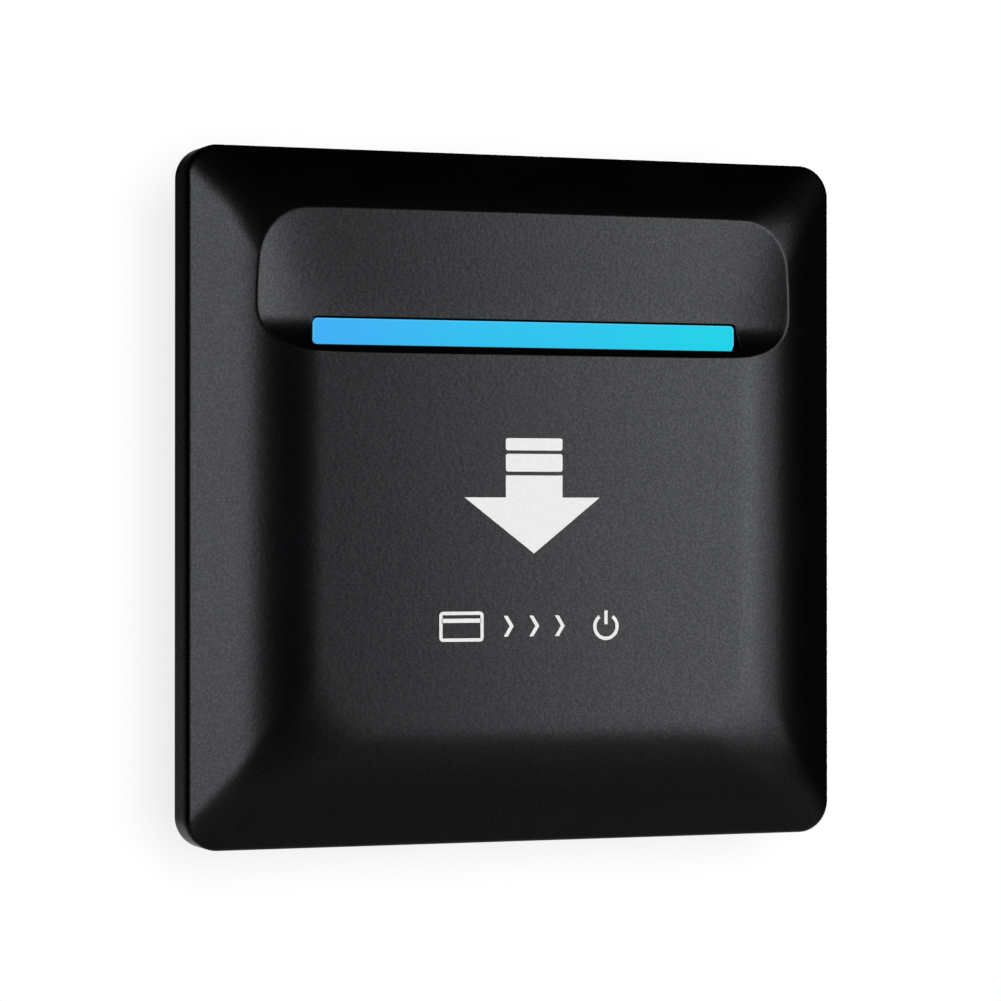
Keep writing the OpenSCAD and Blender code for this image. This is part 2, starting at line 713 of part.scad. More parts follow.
module card_lever() {
  tip_half = nose_r * tip_share;
  tip_edge_h = nose_tip_h - nose_r + sqrt(nose_r * nose_r - tip_half * tip_half);
  nose_profile = [[-arm_front_h + thin, nose_mid_z + nose_rise], [-tip_edge_h, nose_mid_z + tip_half],
                  [-tip_edge_h, nose_mid_z - tip_half], [-arm_front_h + thin, nose_mid_z - nose_fall]];
  color([0.92, 0.92, 0.9])
    difference() {
      union() {
        across(lever_w) {
          polygon(nose_profile);
          translate([-nose_tip_h + nose_r, nose_mid_z]) circle(nose_r);
          translate([-pivot_h, pivot_z]) circle(barrel_r);
          translate([-arm_front_h, pivot_z - arm_l]) square([arm_front_h - arm_back_h, arm_l]);
          translate([-tray_back_h + run_gap, pivot_z - arm_l]) square([tray_back_h - arm_front_h, end_pad_l]);
        }
        slab(0, switch_z, plunger_size[0], pad_l, -arm_back_h - thin, -arm_back_h + pad_t);
      }
      pivot_bar(pin_d + 2 * run_gap, lever_w + 2 * over);
    }
}

module lever_pin() {
  color([0.75, 0.75, 0.77]) pivot_bar(pin_d, pin_l);
}

// The spring's middle line: a hook behind the lever, a coil round the pin and a leg on the tray's back
hook_y = -pivot_h + spring_r;
hook_z = pivot_z - hook_drop;
leg_y = -(tray_back_h - spring_wire / 2 - run_gap);
leg_end = [spring_from + spring_pitch * spring_turns, leg_y, pivot_z + leg_rise];
coil_steps = spring_turns * turn_steps + turn_steps / 2;
coil_line = [for (i = [0 : coil_steps]) let (a = 360 * i / turn_steps)
             [spring_from + spring_pitch * spring_turns * i / coil_steps,
              -pivot_h + spring_r * cos(a), pivot_z + spring_r * sin(a)]];
hook_line = [[lever_w / 4, hook_y, hook_z], [spring_from - hook_turn[0], hook_y, hook_z],
             [spring_from, hook_y, hook_z + hook_turn[1]]];
spring_line = concat(hook_line, coil_line, [leg_end]);

// Rings of points around a line, each square to the line there and set by a way that the line never takes
off_way = [0.3, 0.2, 0.93];
function line_way(line, i) = let (d = line[min(i + 1, len(line) - 1)] - line[max(i - 1, 0)]) d / norm(d);
function ring_side(way) = let (s = cross(way, off_way)) s / norm(s);
function tube_points(line, r, sides) =
  [for (i = [0 : len(line) - 1], k = [0 : sides - 1])
   let (way = line_way(line, i), u = ring_side(way), v = cross(way, u), a = 360 * k / sides)
   line[i] + r * (u * cos(a) + v * sin(a))];
function halves(faces) = [for (f = faces) each [[f[3], f[0], f[1]], [f[3], f[1], f[2]]]];

module lever_spring() {
  rings = len(spring_line);
  points = tube_points(spring_line, spring_wire / 2, spring_sides);
  sides = halves(skin(rings, spring_sides));
  color([0.6, 0.6, 0.62])
    polyhedron(points, concat(first_lid(spring_sides), sides, last_lid(rings, spring_sides)));
}

module microswitch_body() {
  hole_y = switch_front_y + plunger_in + plunger_travel + fix_gap;
  color([0.15, 0.15, 0.16])
    difference() {
      slab(0, switch_z, switch_size[0], switch_size[1], switch_front_y, board_y);
      slab(0, switch_z, plunger_size[0] + 2 * slide_gap, plunger_size[1] + 2 * slide_gap,
           switch_front_y - over, hole_y);
    }
}

module microswitch_plunger() {
  color([0.8, 0.15, 0.12])
    slab(0, switch_z, plunger_size[0], plunger_size[1], plunger_tip_y, switch_front_y + plunger_in);
}

// Leads that end flush inside the main board
module leads(places, from_y, to_y) {
  for (a = places) bar_y_dir(a[0], a[1], lead_d, from_y, to_y);
}

module microswitch_pins() {
  color([0.8, 0.8, 0.78]) leads(switch_lead_at, board_y, board_back_y - lead_gap);
}

module main_board() {
  color([0.1, 0.35, 0.18])
    difference() {
      slab(0, 0, board_size[0], board_size[1], board_y, board_back_y);
      for (a = lead_at) bar_y_dir(a[0], a[1], lead_d + 2 * lead_gap, board_y - over, board_back_y + over);
      for (x = [-1, 1], z = [-1, 1])
        bar_y_dir(x * board_hole[0], z * board_hole[1], board_screw[2] + fix_gap,
                  board_y - over, board_back_y + over);
    }
}

module board_screws() {
  color([0.7, 0.7, 0.72])
    for (x = [-1, 1], z = [-1, 1]) front_screw(x * board_hole[0], z * board_hole[1], -board_y, board_screw);
}

// A box on the back of the main board
module board_box(at, size) {
  slab(at[0], at[1], size[0], size[1], board_back_y, board_back_y + size[2]);
}

module relay() {
  color([0.12, 0.25, 0.55]) board_box(relay_at, relay_size);
}

module relay_pins() {
  color([0.8, 0.8, 0.78]) leads(relay_lead_at, lead_y, board_back_y);
}

module film_capacitor() {
  color([0.85, 0.7, 0.15]) {
    board_box(film_at, film_size);
    leads(film_lead_at, lead_y, board_back_y + stand_off);
  }
}

// A round part that stands on the back of the main board on two leads
module round_part(at, size) {
  bar_y_dir(at[0], at[1], size[0], board_back_y + stand_off, board_back_y + stand_off + size[1]);
  for (s = [-1, 1])
    bar_y_dir(at[0] + s * lead_spread / 2, at[1], lead_d, lead_y, board_back_y + stand_off + thin);
}

module electrolytic_capacitor() {
  color([0.1, 0.1, 0.2]) round_part(electrolytic_at, electrolytic_size);
}

module fuse() {
  color([0.3, 0.22, 0.15]) round_part(fuse_at, fuse_size);
}

module choke() {
  color([0.15, 0.15, 0.15]) round_part(choke_at, choke_size);
}

module varistor() {
  color([0.1, 0.3, 0.6]) {
    translate([varistor_at[0], board_back_y + stand_off + varistor_size[0] / 2, varistor_at[1]])
      cylinder(d = varistor_size[0], h = varistor_size[1], center = true);
    for (s = [-1, 1])
      bar_y_dir(varistor_at[0] + s * lead_spread / 2, varistor_at[1], lead_d, lead_y,
                board_back_y + stand_off + varistor_size[0] / 2);
  }
}

// Flat legs along both long sides of a box that lies on a board face
module flat_legs(at, size, count, pitch, y0, y1) {
  for (i = [0 : count - 1], s = [-1, 1])
    slab(at[0] + (i - (count - 1) / 2) * pitch, at[1] + s * size[1] / 2, leg_size[0], leg_size[1], y0, y1);
}

module bridge_rectifier() {
  color([0.1, 0.1, 0.1]) {
    board_box(rectifier_at, rectifier_size);
    flat_legs(rectifier_at, rectifier_size, 2, rectifier_leg[0],
              board_back_y, board_back_y + rectifier_leg[1]);
  }
}

module controller_chip() {
  color([0.1, 0.1, 0.1]) {
    slab(chip_at[0], chip_at[1], chip_size[0], chip_size[1], board_y - chip_size[2], board_y);
    flat_legs(chip_at, chip_size, 4, chip_leg[0], board_y - chip_leg[1], board_y);
  }
}

module resistors() {
  color([0.1, 0.1, 0.1])
    for (a = resistor_at)
      slab(a[0], a[1], resistor_size[0], resistor_size[1], board_y - resistor_size[2], board_y);
}

// The housing's outline from the ears back to a depth, and the part of it above a height
module housing_block(half, r, y0, y1, low_z) {
  intersection() {
    raise(-y1, -y0) round_rect(2 * half[0], 2 * half[1], r);
    slab(0, (low_z + half[1]) / 2, 2 * half[0], half[1] - low_z, y0, y1);
  }
}

module rear_housing() {
  front_y = -frame_t;
  color([0.88, 0.88, 0.86])
    difference() {
      union() {
        housing_block(housing_half, housing_r, front_y, shallow_y + housing_wall, -housing_half[1]);
        housing_block(housing_half, housing_r, front_y, deep_y + housing_wall, step_z);
        for (z = [-1, 1])
          slab(0, z * (housing_half[1] + (ear_l - housing_wall) / 2), ear_w, ear_l + housing_wall,
               front_y - ear_t, front_y);
      }
      difference() {
        union() {
          slab(0, 0, 2 * inner_half[0], 2 * inner_half[1], front_y - ear_t - over, shallow_y);
          slab(0, (step_z + housing_wall + inner_half[1]) / 2, 2 * inner_half[0],
               inner_half[1] - step_z - housing_wall, front_y - over, deep_y);
        }
        for (x = [-1, 1]) {
          bar_y_dir(x * board_hole[0], board_hole[1], 2 * boss_r, board_back_y, deep_y + thin);
          bar_y_dir(x * board_hole[0], -board_hole[1], 2 * boss_r, board_back_y, shallow_y + thin);
        }
      }
      slab(0, block_z + block_l / 2, block_w + 2 * fix_gap, block_l + 2 * fix_gap,
           shallow_y - over, shallow_y + housing_wall + over);
      for (x = [-1, 1], z = [-1, 1]) {
        bar_y_dir(x * board_hole[0], z * board_hole[1], board_screw[2] + 2 * run_gap,
                  board_back_y - over, board_y + board_screw[3] + fix_gap);
        bar_y_dir(x * ear_hole_at, z * ear_hole_z, housing_screw[2] + fix_gap,
                  front_y - ear_t - over, front_y + over);
      }
    }
}

module housing_screws() {
  color([0.7, 0.7, 0.72])
    for (x = [-1, 1], z = [-1, 1])
      front_screw(x * ear_hole_at, z * ear_hole_z, frame_t + ear_t, housing_screw);
}

module terminal_block() {
  cavity = [cage_size[0] + 2 * slide_gap, cage_size[1] + 2 * slide_gap];
  color([0.75, 0.75, 0.73])
    difference() {
      slab(0, block_z + block_l / 2, block_w, block_l, board_back_y, board_back_y + block_h);
      for (x = terminal_x) {
        slab(x, cage_mid_z, cavity[0], cavity[1], board_back_y + cage_rest - fix_gap, shoulder_y);
        slab(x, (cage_mid_z + bar_leg_z + bar_t + slide_gap) / 2, bar_w + fix_gap,
             bar_leg_z + bar_t + slide_gap - cage_mid_z, board_back_y - over, bar_y + bar_t + slide_gap);
        translate([x, wire_y, block_z - over]) cylinder(d = wire_d, h = wire_wall + 2 * over);
        bar_y_dir(x, cage_mid_z, terminal_screw_d + 2 * slide_gap, shoulder_y - over, head_seat_y + over);
        bar_y_dir(x, cage_mid_z, terminal_head[0] + 2 * slide_gap,
                  head_seat_y, board_back_y + block_h + over);
      }
    }
}

module current_bars() {
  color([0.8, 0.62, 0.3])
    for (x = terminal_x) {
      slab(x, (cage_z + slide_gap + bar_leg_z + bar_t) / 2, bar_w, bar_leg_z + bar_t - cage_z - slide_gap,
           bar_y, bar_y + bar_t);
      slab(x, bar_leg_z + bar_t / 2, bar_w, bar_t, board_back_y, bar_y + bar_t);
      bar_y_dir(x, bar_leg_z + bar_t / 2, lead_d, lead_y, board_back_y + thin);
    }
}

module terminal_screw(i) {
  if (i <= terminal_count)
    color([0.75, 0.75, 0.77])
      translate([terminal_x[i - 1], head_seat_y + run_gap, cage_mid_z]) rotate([-90, 0, 0])
        difference() {
          union() {
            cylinder(d = terminal_head[0], h = terminal_head[1]);
            translate([0, 0, screw_tip_y - head_seat_y])
              cylinder(d = terminal_screw_d, h = head_seat_y - screw_tip_y + thin);
          }
          translate([-terminal_head[0], -driver_slot / 2, terminal_head[1] / 2])
            cube([2 * terminal_head[0], driver_slot, terminal_head[1]]);
        }
}

module terminal_cage(i) {
  if (i <= terminal_count) {
    x = terminal_x[i - 1];
    y = board_back_y + cage_rest;
    color([0.8, 0.62, 0.3])
      difference() {
        slab(x, cage_mid_z, cage_size[0], cage_size[1], y, y + cage_size[2]);
        slab(x, cage_mid_z, cage_size[0] - 2 * cage_wall, cage_size[1] + 2 * over,
             y + cage_wall, y + cage_size[2] - cage_top);
        bar_y_dir(x, cage_mid_z, terminal_screw_d + 2 * run_gap,
                  y + cage_wall + over, y + cage_size[2] + over);
      }
  }
}

front_cover();
light_guide();
mounting_frame();
card_tray();
tray_screws();
led_board();
slot_leds();
led_board_screws();
led_header();
led_header_pins();
card_lever();
lever_pin();
lever_spring();
microswitch_body();
microswitch_plunger();
microswitch_pins();
main_board();
board_screws();
relay();
relay_pins();
film_capacitor();
electrolytic_capacitor();
varistor();
fuse();
choke();
bridge_rectifier();
controller_chip();
resistors();
rear_housing();
housing_screws();
terminal_block();
current_bars();
terminal_screw(1);  // terminal_screw_1
terminal_screw(2);  // terminal_screw_2
terminal_screw(3);  // terminal_screw_3
terminal_screw(4);  // terminal_screw_4
terminal_cage(1);  // terminal_cage_1
terminal_cage(2);  // terminal_cage_2
terminal_cage(3);  // terminal_cage_3
terminal_cage(4);  // terminal_cage_4
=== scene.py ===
import math

import bpy
import numpy as np
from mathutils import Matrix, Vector


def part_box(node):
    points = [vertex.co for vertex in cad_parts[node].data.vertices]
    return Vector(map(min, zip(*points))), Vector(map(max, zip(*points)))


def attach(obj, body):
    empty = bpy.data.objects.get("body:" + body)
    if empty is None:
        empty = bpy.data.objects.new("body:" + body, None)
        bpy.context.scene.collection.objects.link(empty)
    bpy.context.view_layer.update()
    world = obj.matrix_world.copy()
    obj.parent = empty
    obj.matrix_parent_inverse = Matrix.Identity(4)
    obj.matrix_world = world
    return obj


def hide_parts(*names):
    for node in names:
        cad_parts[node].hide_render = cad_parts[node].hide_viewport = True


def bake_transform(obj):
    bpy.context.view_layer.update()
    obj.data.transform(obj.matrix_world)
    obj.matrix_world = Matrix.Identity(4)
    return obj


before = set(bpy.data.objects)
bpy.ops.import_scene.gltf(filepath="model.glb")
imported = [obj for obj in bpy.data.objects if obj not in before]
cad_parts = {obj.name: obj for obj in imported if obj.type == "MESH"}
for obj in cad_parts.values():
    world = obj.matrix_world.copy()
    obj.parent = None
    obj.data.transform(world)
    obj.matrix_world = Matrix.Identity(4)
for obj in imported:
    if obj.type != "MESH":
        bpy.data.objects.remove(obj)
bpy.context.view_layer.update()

# Rear housing: the pale box that goes into the wall, injection moulded in plastic with a fine grain.
# It keeps its CAD form, is screwed to the frame by its ears, and carries the main board on bosses.
CLOUD_SIZE = 0.012
CLOUD_RAMP = (0.3, 0.75)
CLOUD_GLOSS = 0.12
SPECK_GLOSS = 0.08


class Wire:
    """One value in a node tree. Operators on it add Math nodes, so a mask can be written as 1 - a * b."""

    def __init__(self, finish, socket):
        self.finish = finish
        self.socket = socket

    def math(self, operation, first, second=0.0):
        return self.finish.node("ShaderNodeMath", {"operation": operation}, {0: first, 1: second})

    def __add__(self, other):
        return self.math("ADD", self, other)

    def __radd__(self, other):
        return self.math("ADD", other, self)

    def __sub__(self, other):
        return self.math("SUBTRACT", self, other)

    def __rsub__(self, other):
        return self.math("SUBTRACT", other, self)

    def __mul__(self, other):
        return self.math("MULTIPLY", self, other)

    def __rmul__(self, other):
        return self.math("MULTIPLY", other, self)

    def __truediv__(self, other):
        return self.math("DIVIDE", self, other)

    def __gt__(self, other):
        return self.math("GREATER_THAN", self, other)

    def __lt__(self, other):
        return self.math("LESS_THAN", self, other)

    def __mod__(self, other):
        return self.math("FLOORED_MODULO", self, other)

    def __pow__(self, other):
        return self.math("POWER", self, other)

    def __abs__(self):
        return self.math("ABSOLUTE", self)

    def root(self):
        return self.math("SQRT", self)

    def larger(self, other):
        return self.math("MAXIMUM", self, other)

    def ramp(self, low, high):
        """Rises smoothly from 0 at low to 1 at high."""
        return self.finish.node("ShaderNodeMapRange", {"interpolation_type": "SMOOTHSTEP"},
                                {0: self, 1: low, 2: high})


class Finish:
    """A material, or the world, while it is put together from nodes."""

    def __init__(self, name, holder=None):
        self.holder = holder or bpy.data.materials.new(name)
        self.holder.use_nodes = True
        self.tree = self.holder.node_tree
        self.tree.nodes.clear()
        self.coordinates = None

    def node(self, kind, settings=None, sockets=None, output=0):
        """Adds one node: its settings first, then the values or wires of its sockets."""
        made = self.tree.nodes.new(kind)
        for key, value in (settings or {}).items():
            setattr(made, key, value)
        for key, value in (sockets or {}).items():
            if isinstance(value, Wire):
                self.tree.links.new(value.socket, made.inputs[key])
            else:
                made.inputs[key].default_value = value
        return Wire(self, made.outputs[output]) if made.outputs else None

    def place(self):
        """The point on the piece, in metres from the part's origin."""
        if self.coordinates is None:
            self.coordinates = self.node("ShaderNodeTexCoord", output="Object")
        return self.coordinates

    def axis(self, letter):
        """One coordinate of the point on the piece."""
        return self.node("ShaderNodeSeparateXYZ", None, {0: self.place()}, letter)

    def mottle(self, size, detail=2.0, stretch=(1.0, 1.0, 1.0)):
        """Noise between 0 and 1 whose spots are about size metres across, drawn out by stretch."""
        scale = tuple(1.0 / (size * part) for part in stretch)
        spot = self.node("ShaderNodeMapping", None, {"Vector": self.place(), "Scale": scale})
        return self.node("ShaderNodeTexNoise", None, {"Vector": spot, "Scale": 1.0, "Detail": detail})

    def tint(self, share, first, second):
        """A colour that goes from the first to the second as share goes from 0 to 1."""
        return self.node("ShaderNodeMix", {"data_type": "RGBA"}, {0: share, 6: first, 7: second}, 2)

    def relief(self, height, depth):
        """A surface normal bent by a height between 0 and 1 that stands for depth metres."""
        return self.node("ShaderNodeBump", None, {"Height": height, "Distance": depth, "Strength": 1.0})

    def end(self, shader):
        """Joins a shader to the output and gives the finished material."""
        self.node("ShaderNodeOutputMaterial", None, {"Surface": shader})
        return self.holder

    def surface(self, sockets):
        """Ends the material with one Principled surface."""
        return self.end(self.node("ShaderNodeBsdfPrincipled", None, sockets))


def shade(red, green, blue):
    """Screen values from 0 to 255 turned into linear light: the 2.4 power curve with its straight foot."""
    parts = np.array([red, green, blue]) / 255.0
    light = np.where(parts <= 0.04045, parts / 12.92, ((parts + 0.055) / 1.055) ** 2.4)
    return (*light.tolist(), 1.0)


def dress(finish, *names):
    """Puts a finish on every material slot of the CAD nodes named."""
    for name in names:
        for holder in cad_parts[name].material_slots:
            holder.material = finish


def moulded(name, colour, worn, grain, depth, rough):
    """Moulded plastic: a fine grain of noise, and a broad noise that drifts its colour and its gloss."""
    finish = Finish(name)
    cloud = finish.mottle(CLOUD_SIZE, 3.0)
    speck = finish.mottle(grain)
    return finish.surface({"Base Color": finish.tint(cloud.ramp(*CLOUD_RAMP), shade(*colour), shade(*worn)),
                           "Roughness": rough + CLOUD_GLOSS * cloud + SPECK_GLOSS * speck,
                           "Normal": finish.relief(speck, depth)})


housing_plastic = moulded("housing_plastic", (222, 221, 214), (212, 211, 203),
                          grain=0.0002, depth=0.00001, rough=0.38)
dress(housing_plastic, "rear_housing")

# Screws and the lever's pin: zinc plated steel, turned, with slotted or cross-slotted heads.
# The plating shows faint turning lines and drifts a little between blue and yellow.
LINE_SIZE = 0.0004
LINE_STRETCH = (1.0, 0.15, 1.0)
LINE_DEPTH = 0.000008
LINE_GLOSS = 0.2
PLATING_DRIFT = 0.002
PLATING_RAMP = (0.35, 0.7)


def plated(name, cool, warm, rough):
    """Plated metal: noise drawn out into fine lines round Y, and a broad drift between two tints."""
    finish = Finish(name)
    lines = finish.mottle(LINE_SIZE, 2.0, LINE_STRETCH)
    drift = finish.mottle(PLATING_DRIFT, 3.0)
    return finish.surface({"Base Color": finish.tint(drift.ramp(*PLATING_RAMP), shade(*cool), shade(*warm)),
                           "Metallic": 1.0,
                           "Roughness": rough + LINE_GLOSS * lines,
                           "Normal": finish.relief(lines, LINE_DEPTH)})


dress(plated("zinc_plating", (196, 201, 206), (206, 202, 188), rough=0.22),
      "tray_screws", "led_board_screws", "board_screws", "housing_screws", "lever_pin",
      "terminal_screw_1", "terminal_screw_2", "terminal_screw_3", "terminal_screw_4")

# Terminals: a grey glass-filled block with four pressed brass cages that lift as their screws turn.
# Brass bars lead from the cages to the board, and the lamp board's header has pins of the same brass.
terminal_plastic = moulded("terminal_plastic", (120, 123, 126), (110, 113, 116),
                           grain=0.00025, depth=0.000012, rough=0.42)
dress(terminal_plastic, "terminal_block")
dress(plated("pressed_brass", (214, 178, 104), (196, 152, 82), rough=0.2),
      "current_bars", "terminal_cage_1", "terminal_cage_2", "terminal_cage_3", "terminal_cage_4",
      "led_header_pins")

# Main board: glass fibre board under green solder mask, screwed to the housing's bosses.
# Copper tracks show through the mask as paler lines, and the leads are tinned.
TRACK_SHARE = 0.16
TRACK_ACROSS = 0.52
TRACK_UP = 0.47
MASK_SPECK = 0.0003
MASK_DEPTH = 0.00002


def solder_mask(name, mask, track, pitch):
    """Solder mask: paler lines on a square pitch, kept only where a coarse noise lets a track run."""
    finish = Finish(name)
    across = abs(finish.axis("X") % pitch - pitch / 2) < pitch * TRACK_SHARE
    up = abs(finish.axis("Z") % (pitch * 2) - pitch) < pitch * TRACK_SHARE
    patch = finish.mottle(pitch * 3, 0.0)
    tracks = (across * (patch > TRACK_ACROSS)).larger(up * (patch < TRACK_UP))
    speck = finish.mottle(MASK_SPECK)
    return finish.surface({"Base Color": finish.tint(tracks, shade(*mask), shade(*track)),
                           "Roughness": 0.3 + 0.15 * speck,
                           "Normal": finish.relief(tracks + 0.3 * speck, MASK_DEPTH)})


dress(solder_mask("green_mask", (22, 92, 52), (44, 128, 74), pitch=0.00127), "main_board")
dress(plated("tinned_leads", (205, 206, 205), (190, 192, 193), rough=0.28), "microswitch_pins", "relay_pins")

# Parts on the boards: relay, film capacitor, sleeved capacitor, varistor, fuse, switch and small black parts.
# Each is a bought part in moulded or dipped plastic, soldered by its leads.
BOARD_PARTS = [
    ("relay_blue", (40, 88, 160), (34, 78, 146), 0.0003, 0.00001, 0.35, ["relay"]),
    ("film_yellow", (224, 186, 62), (214, 172, 50), 0.0006, 0.00002, 0.28, ["film_capacitor"]),
    ("sleeve_dark", (34, 38, 66), (28, 32, 56), 0.0008, 0.00001, 0.24, ["electrolytic_capacitor"]),
    ("varistor_blue", (44, 104, 168), (36, 92, 152), 0.0009, 0.00004, 0.26, ["varistor"]),
    ("fuse_brown", (112, 84, 62), (98, 72, 52), 0.0004, 0.00001, 0.36, ["fuse"]),
    ("black_component", (44, 44, 46), (36, 36, 38), 0.00015, 0.000008, 0.45,
     ["led_header", "microswitch_body", "bridge_rectifier", "controller_chip", "resistors", "choke"]),
]
for part_name, colour, worn, part_grain, part_depth, part_rough, nodes in BOARD_PARTS:
    dress(moulded(part_name, colour, worn, part_grain, part_depth, part_rough), *nodes)

# Mounting frame: the pale plate that is screwed to the wall box, moulded with sockets for the cover's pins.
# It carries the tray on its front and the rear housing behind it.
frame_plastic = moulded("frame_plastic", (214, 213, 206), (203, 202, 194),
                        grain=0.0002, depth=0.00001, rough=0.42)
dress(frame_plastic, "mounting_frame")

# Card tray with its lever: a dark moulded pocket with ribs that guide the card,
# and a white acetal lever on a pin, which the card pushes back.
tray_plastic = moulded("tray_plastic", (52, 52, 54), (44, 44, 46), grain=0.0002, depth=0.00001, rough=0.4)
dress(tray_plastic, "card_tray")
lever_plastic = moulded("lever_plastic", (234, 233, 228), (224, 222, 215),
                        grain=0.0004, depth=0.000006, rough=0.3)
dress(lever_plastic, "card_lever")

# Strip board and lamps behind the slot: white solder mask, and six lamp packages
# with a yellow phosphor spot in a pale moulded rim.
LAMP_PITCH = 0.0084
LAMP_Z = 0.02035
SPOT_OUTER = 0.0012
SPOT_INNER = 0.0010
LAMP_GRAIN = 0.0003
LAMP_DEPTH = 0.00001

dress(solder_mask("white_mask", (232, 232, 226), (214, 215, 210), pitch=0.0016), "led_board")
lamp = Finish("lamp_package")
lamp_x = lamp.axis("X") % LAMP_PITCH - LAMP_PITCH / 2
lamp_z = lamp.axis("Z") - LAMP_Z
spot = (lamp_x * lamp_x + lamp_z * lamp_z).ramp(SPOT_OUTER ** 2, SPOT_INNER ** 2)
lamp_package = lamp.surface({
    "Base Color": lamp.tint(spot, shade(238, 237, 230), shade(236, 206, 92)),
    "Roughness": 0.35 - 0.15 * spot,
    "Normal": lamp.relief(lamp.mottle(LAMP_GRAIN), LAMP_DEPTH),
})
dress(lamp_package, "slot_leds")

# Light guide: clear acrylic bar that fills the slot and is lit from behind; its glow is painted light, an
# emission colour.
# It glows from sky blue at the left to turquoise at the right, with round corners and a thin pale rim of
# painted highlight.
BAR_MID = (0.0, 0.020175)
BAR_HALF = (0.02805, 0.001725)
BAR_R = 0.0006
BAR_FRONT = (-0.0062, -0.0056)
LEFT_SPAN = (-0.030, 0.001)
RIGHT_SPAN = (-0.001, 0.030)
RIM_SPAN = (-0.0002, -0.00006)
RIM_SHARE = 0.6
EDGE_SPAN = (-0.00002, 0.00004)
BAR_GRAIN = 0.0006


def past_outline(finish, mid, half, radius):
    """Distance past a rounded rectangle in x and z: the distance from the rectangle that is smaller by the
    corner radius on each side, less that radius. It is below zero inside."""
    past_x = (abs(finish.axis("X") - mid[0]) - (half[0] - radius)).larger(0.0)
    past_z = (abs(finish.axis("Z") - mid[1]) - (half[1] - radius)).larger(0.0)
    return (past_x * past_x + past_z * past_z).root() - radius


glow = Finish("lit_guide")
along = glow.axis("X")
left_half = glow.tint(along.ramp(*LEFT_SPAN), shade(66, 176, 246), shade(48, 194, 238))
bar_colour = glow.tint(along.ramp(*RIGHT_SPAN), left_half, shade(32, 210, 231))
# Share of the bar's front face: on its sides the glow is painted shade, a darker blue.
front = 1 - glow.axis("Y").ramp(*BAR_FRONT)
bar_edge = past_outline(glow, BAR_MID, BAR_HALF, BAR_R)
# Painted highlight: a thin pale rim just inside the bar's outline.
rim_highlight_colour = glow.tint(RIM_SHARE * bar_edge.ramp(*RIM_SPAN), bar_colour, shade(100, 205, 246))
# Painted shade: past the round corners of its outline the bar is painted nearly black.
bar_glow = glow.tint(bar_edge.ramp(*EDGE_SPAN), rim_highlight_colour, shade(0, 16, 24))
lit_guide = glow.surface({
    "Base Color": shade(4, 10, 14),
    "Roughness": 0.5 + 0.1 * glow.mottle(BAR_GRAIN),
    "Specular IOR Level": 0.03,
    "Emission Color": glow.tint(front, shade(12, 70, 96), bar_glow),
    "Emission Strength": 1.0,
})
dress(lit_guide, "light_guide")

# Front cover: one square black moulding with a bevelled rim that rolls into a flat face.
# A scoop runs across it above a crisp lip, with the card slot in its floor.
# Four pins behind it push into the frame. Sizes are in millimetres, heights are over the wall.
MM = 0.001
HALF = 43.0
CORNER_R = 4.0
CORNER_GAIN = 4.0 / 15.35
FACE_H = 11.18
BEVEL_ANGLE = 31.0
BEVEL = math.tan(math.radians(BEVEL_ANGLE))
BEVEL_END = 4.0
ROLL_R = 22.03
ROLL_END = 15.35
EDGE_R = 1.0
EDGE_FOOT = 5.061
EDGE_IN = 0.485
EDGE_TURNS = 7
SKIRT = 2.0
SKIRT_HEIGHTS = (3.6, 1.9, 0.25)
FOOT_BREAK = 0.25
WALL = 1.2
INNER_FOOT = 5.452
INNER_HEIGHTS = (0.0, 2.4, INNER_FOOT)
FLOOR_H = 9.1
CLIMB = 0.07
CLIMB_EASE = 2.0
END_RISE = 0.67
END_AT = 35.4
END_POWER = 8
END_CAP = 1.08
JOIN_POWER = 1.5
UNDER_H = 7.9
UNDER_EASE = 0.2
CHEEK_Z = (16.0, 16.4)
CHEEK_X = (27.8, 28.1)
SCOOP_R = 8.517
SCOOP_H = 17.617
SCOOP_Z = 23.3
SLOT_HALF = (28.2, 1.7)
SLOT_Z = 20.35
SLOT_R = 0.55
SLOT_NARROW = 0.095
SLOT_DRAFT = 0.335
EDGE_BREAK = 0.12
LIP_R = 0.9
FOLD_REACH = 1.1
FOLD_SHARE = 0.55
SLOPE_STEP = 0.02
CREASE_SAMPLES = 400
CREASE_HALVINGS = 40
COLUMNS = (124, 112, 22)
SCOOP_ROWS = 18
FOLD_ROWS = 15
PILLOW_ROWS = 62
INNER_ROWS = 34
CRISP_ANGLE = 40.0
PIN_AT = 34.0
PIN_PROFILE = [(1.3, 1.6), (1.7, 1.85), (2.0, 2.6), (2.0, 8.6)]
PIN_SIDES = 40


def soft_step(value, low, high):
    """The cubic 3 s^2 - 2 s^3 of how far value has gone from low to high."""
    share = np.clip((value - low) / (high - low), 0.0, 1.0)
    return share * share * (3.0 - 2.0 * share)


def inset_of(x, z):
    """Distance in from the plate's outline. Along a side it is the gap to that side; in a corner it is the
    larger root of (X + q d)^2 + (Z + q d)^2 = (r + g d)^2, the rounded corner that widens inwards."""
    ax, az = np.abs(x), np.abs(z)
    straight = HALF - np.maximum(ax, az)
    q = 1.0 + CORNER_GAIN
    in_x, in_z = ax - (HALF - CORNER_R), az - (HALF - CORNER_R)
    a = 2.0 * q * q - CORNER_GAIN ** 2
    b = 2.0 * q * (in_x + in_z) - 2.0 * CORNER_R * CORNER_GAIN
    c = in_x ** 2 + in_z ** 2 - CORNER_R ** 2
    rounded = (-b + np.sqrt(np.maximum(b * b - 4.0 * a * c, 0.0))) / (2.0 * a)
    in_corner = np.minimum(ax, az) > HALF - CORNER_R - q * straight
    return np.where(in_corner, rounded, straight)


def pillow_height(inset):
    """Height over the wall: a straight bevel, then a round roll, then the flat face."""
    along_roll = np.clip(ROLL_END - inset, 0.0, ROLL_END - BEVEL_END)
    roll = FACE_H - ROLL_R + np.sqrt(ROLL_R ** 2 - along_roll ** 2)
    return roll - np.maximum(BEVEL_END - inset, 0.0) * BEVEL


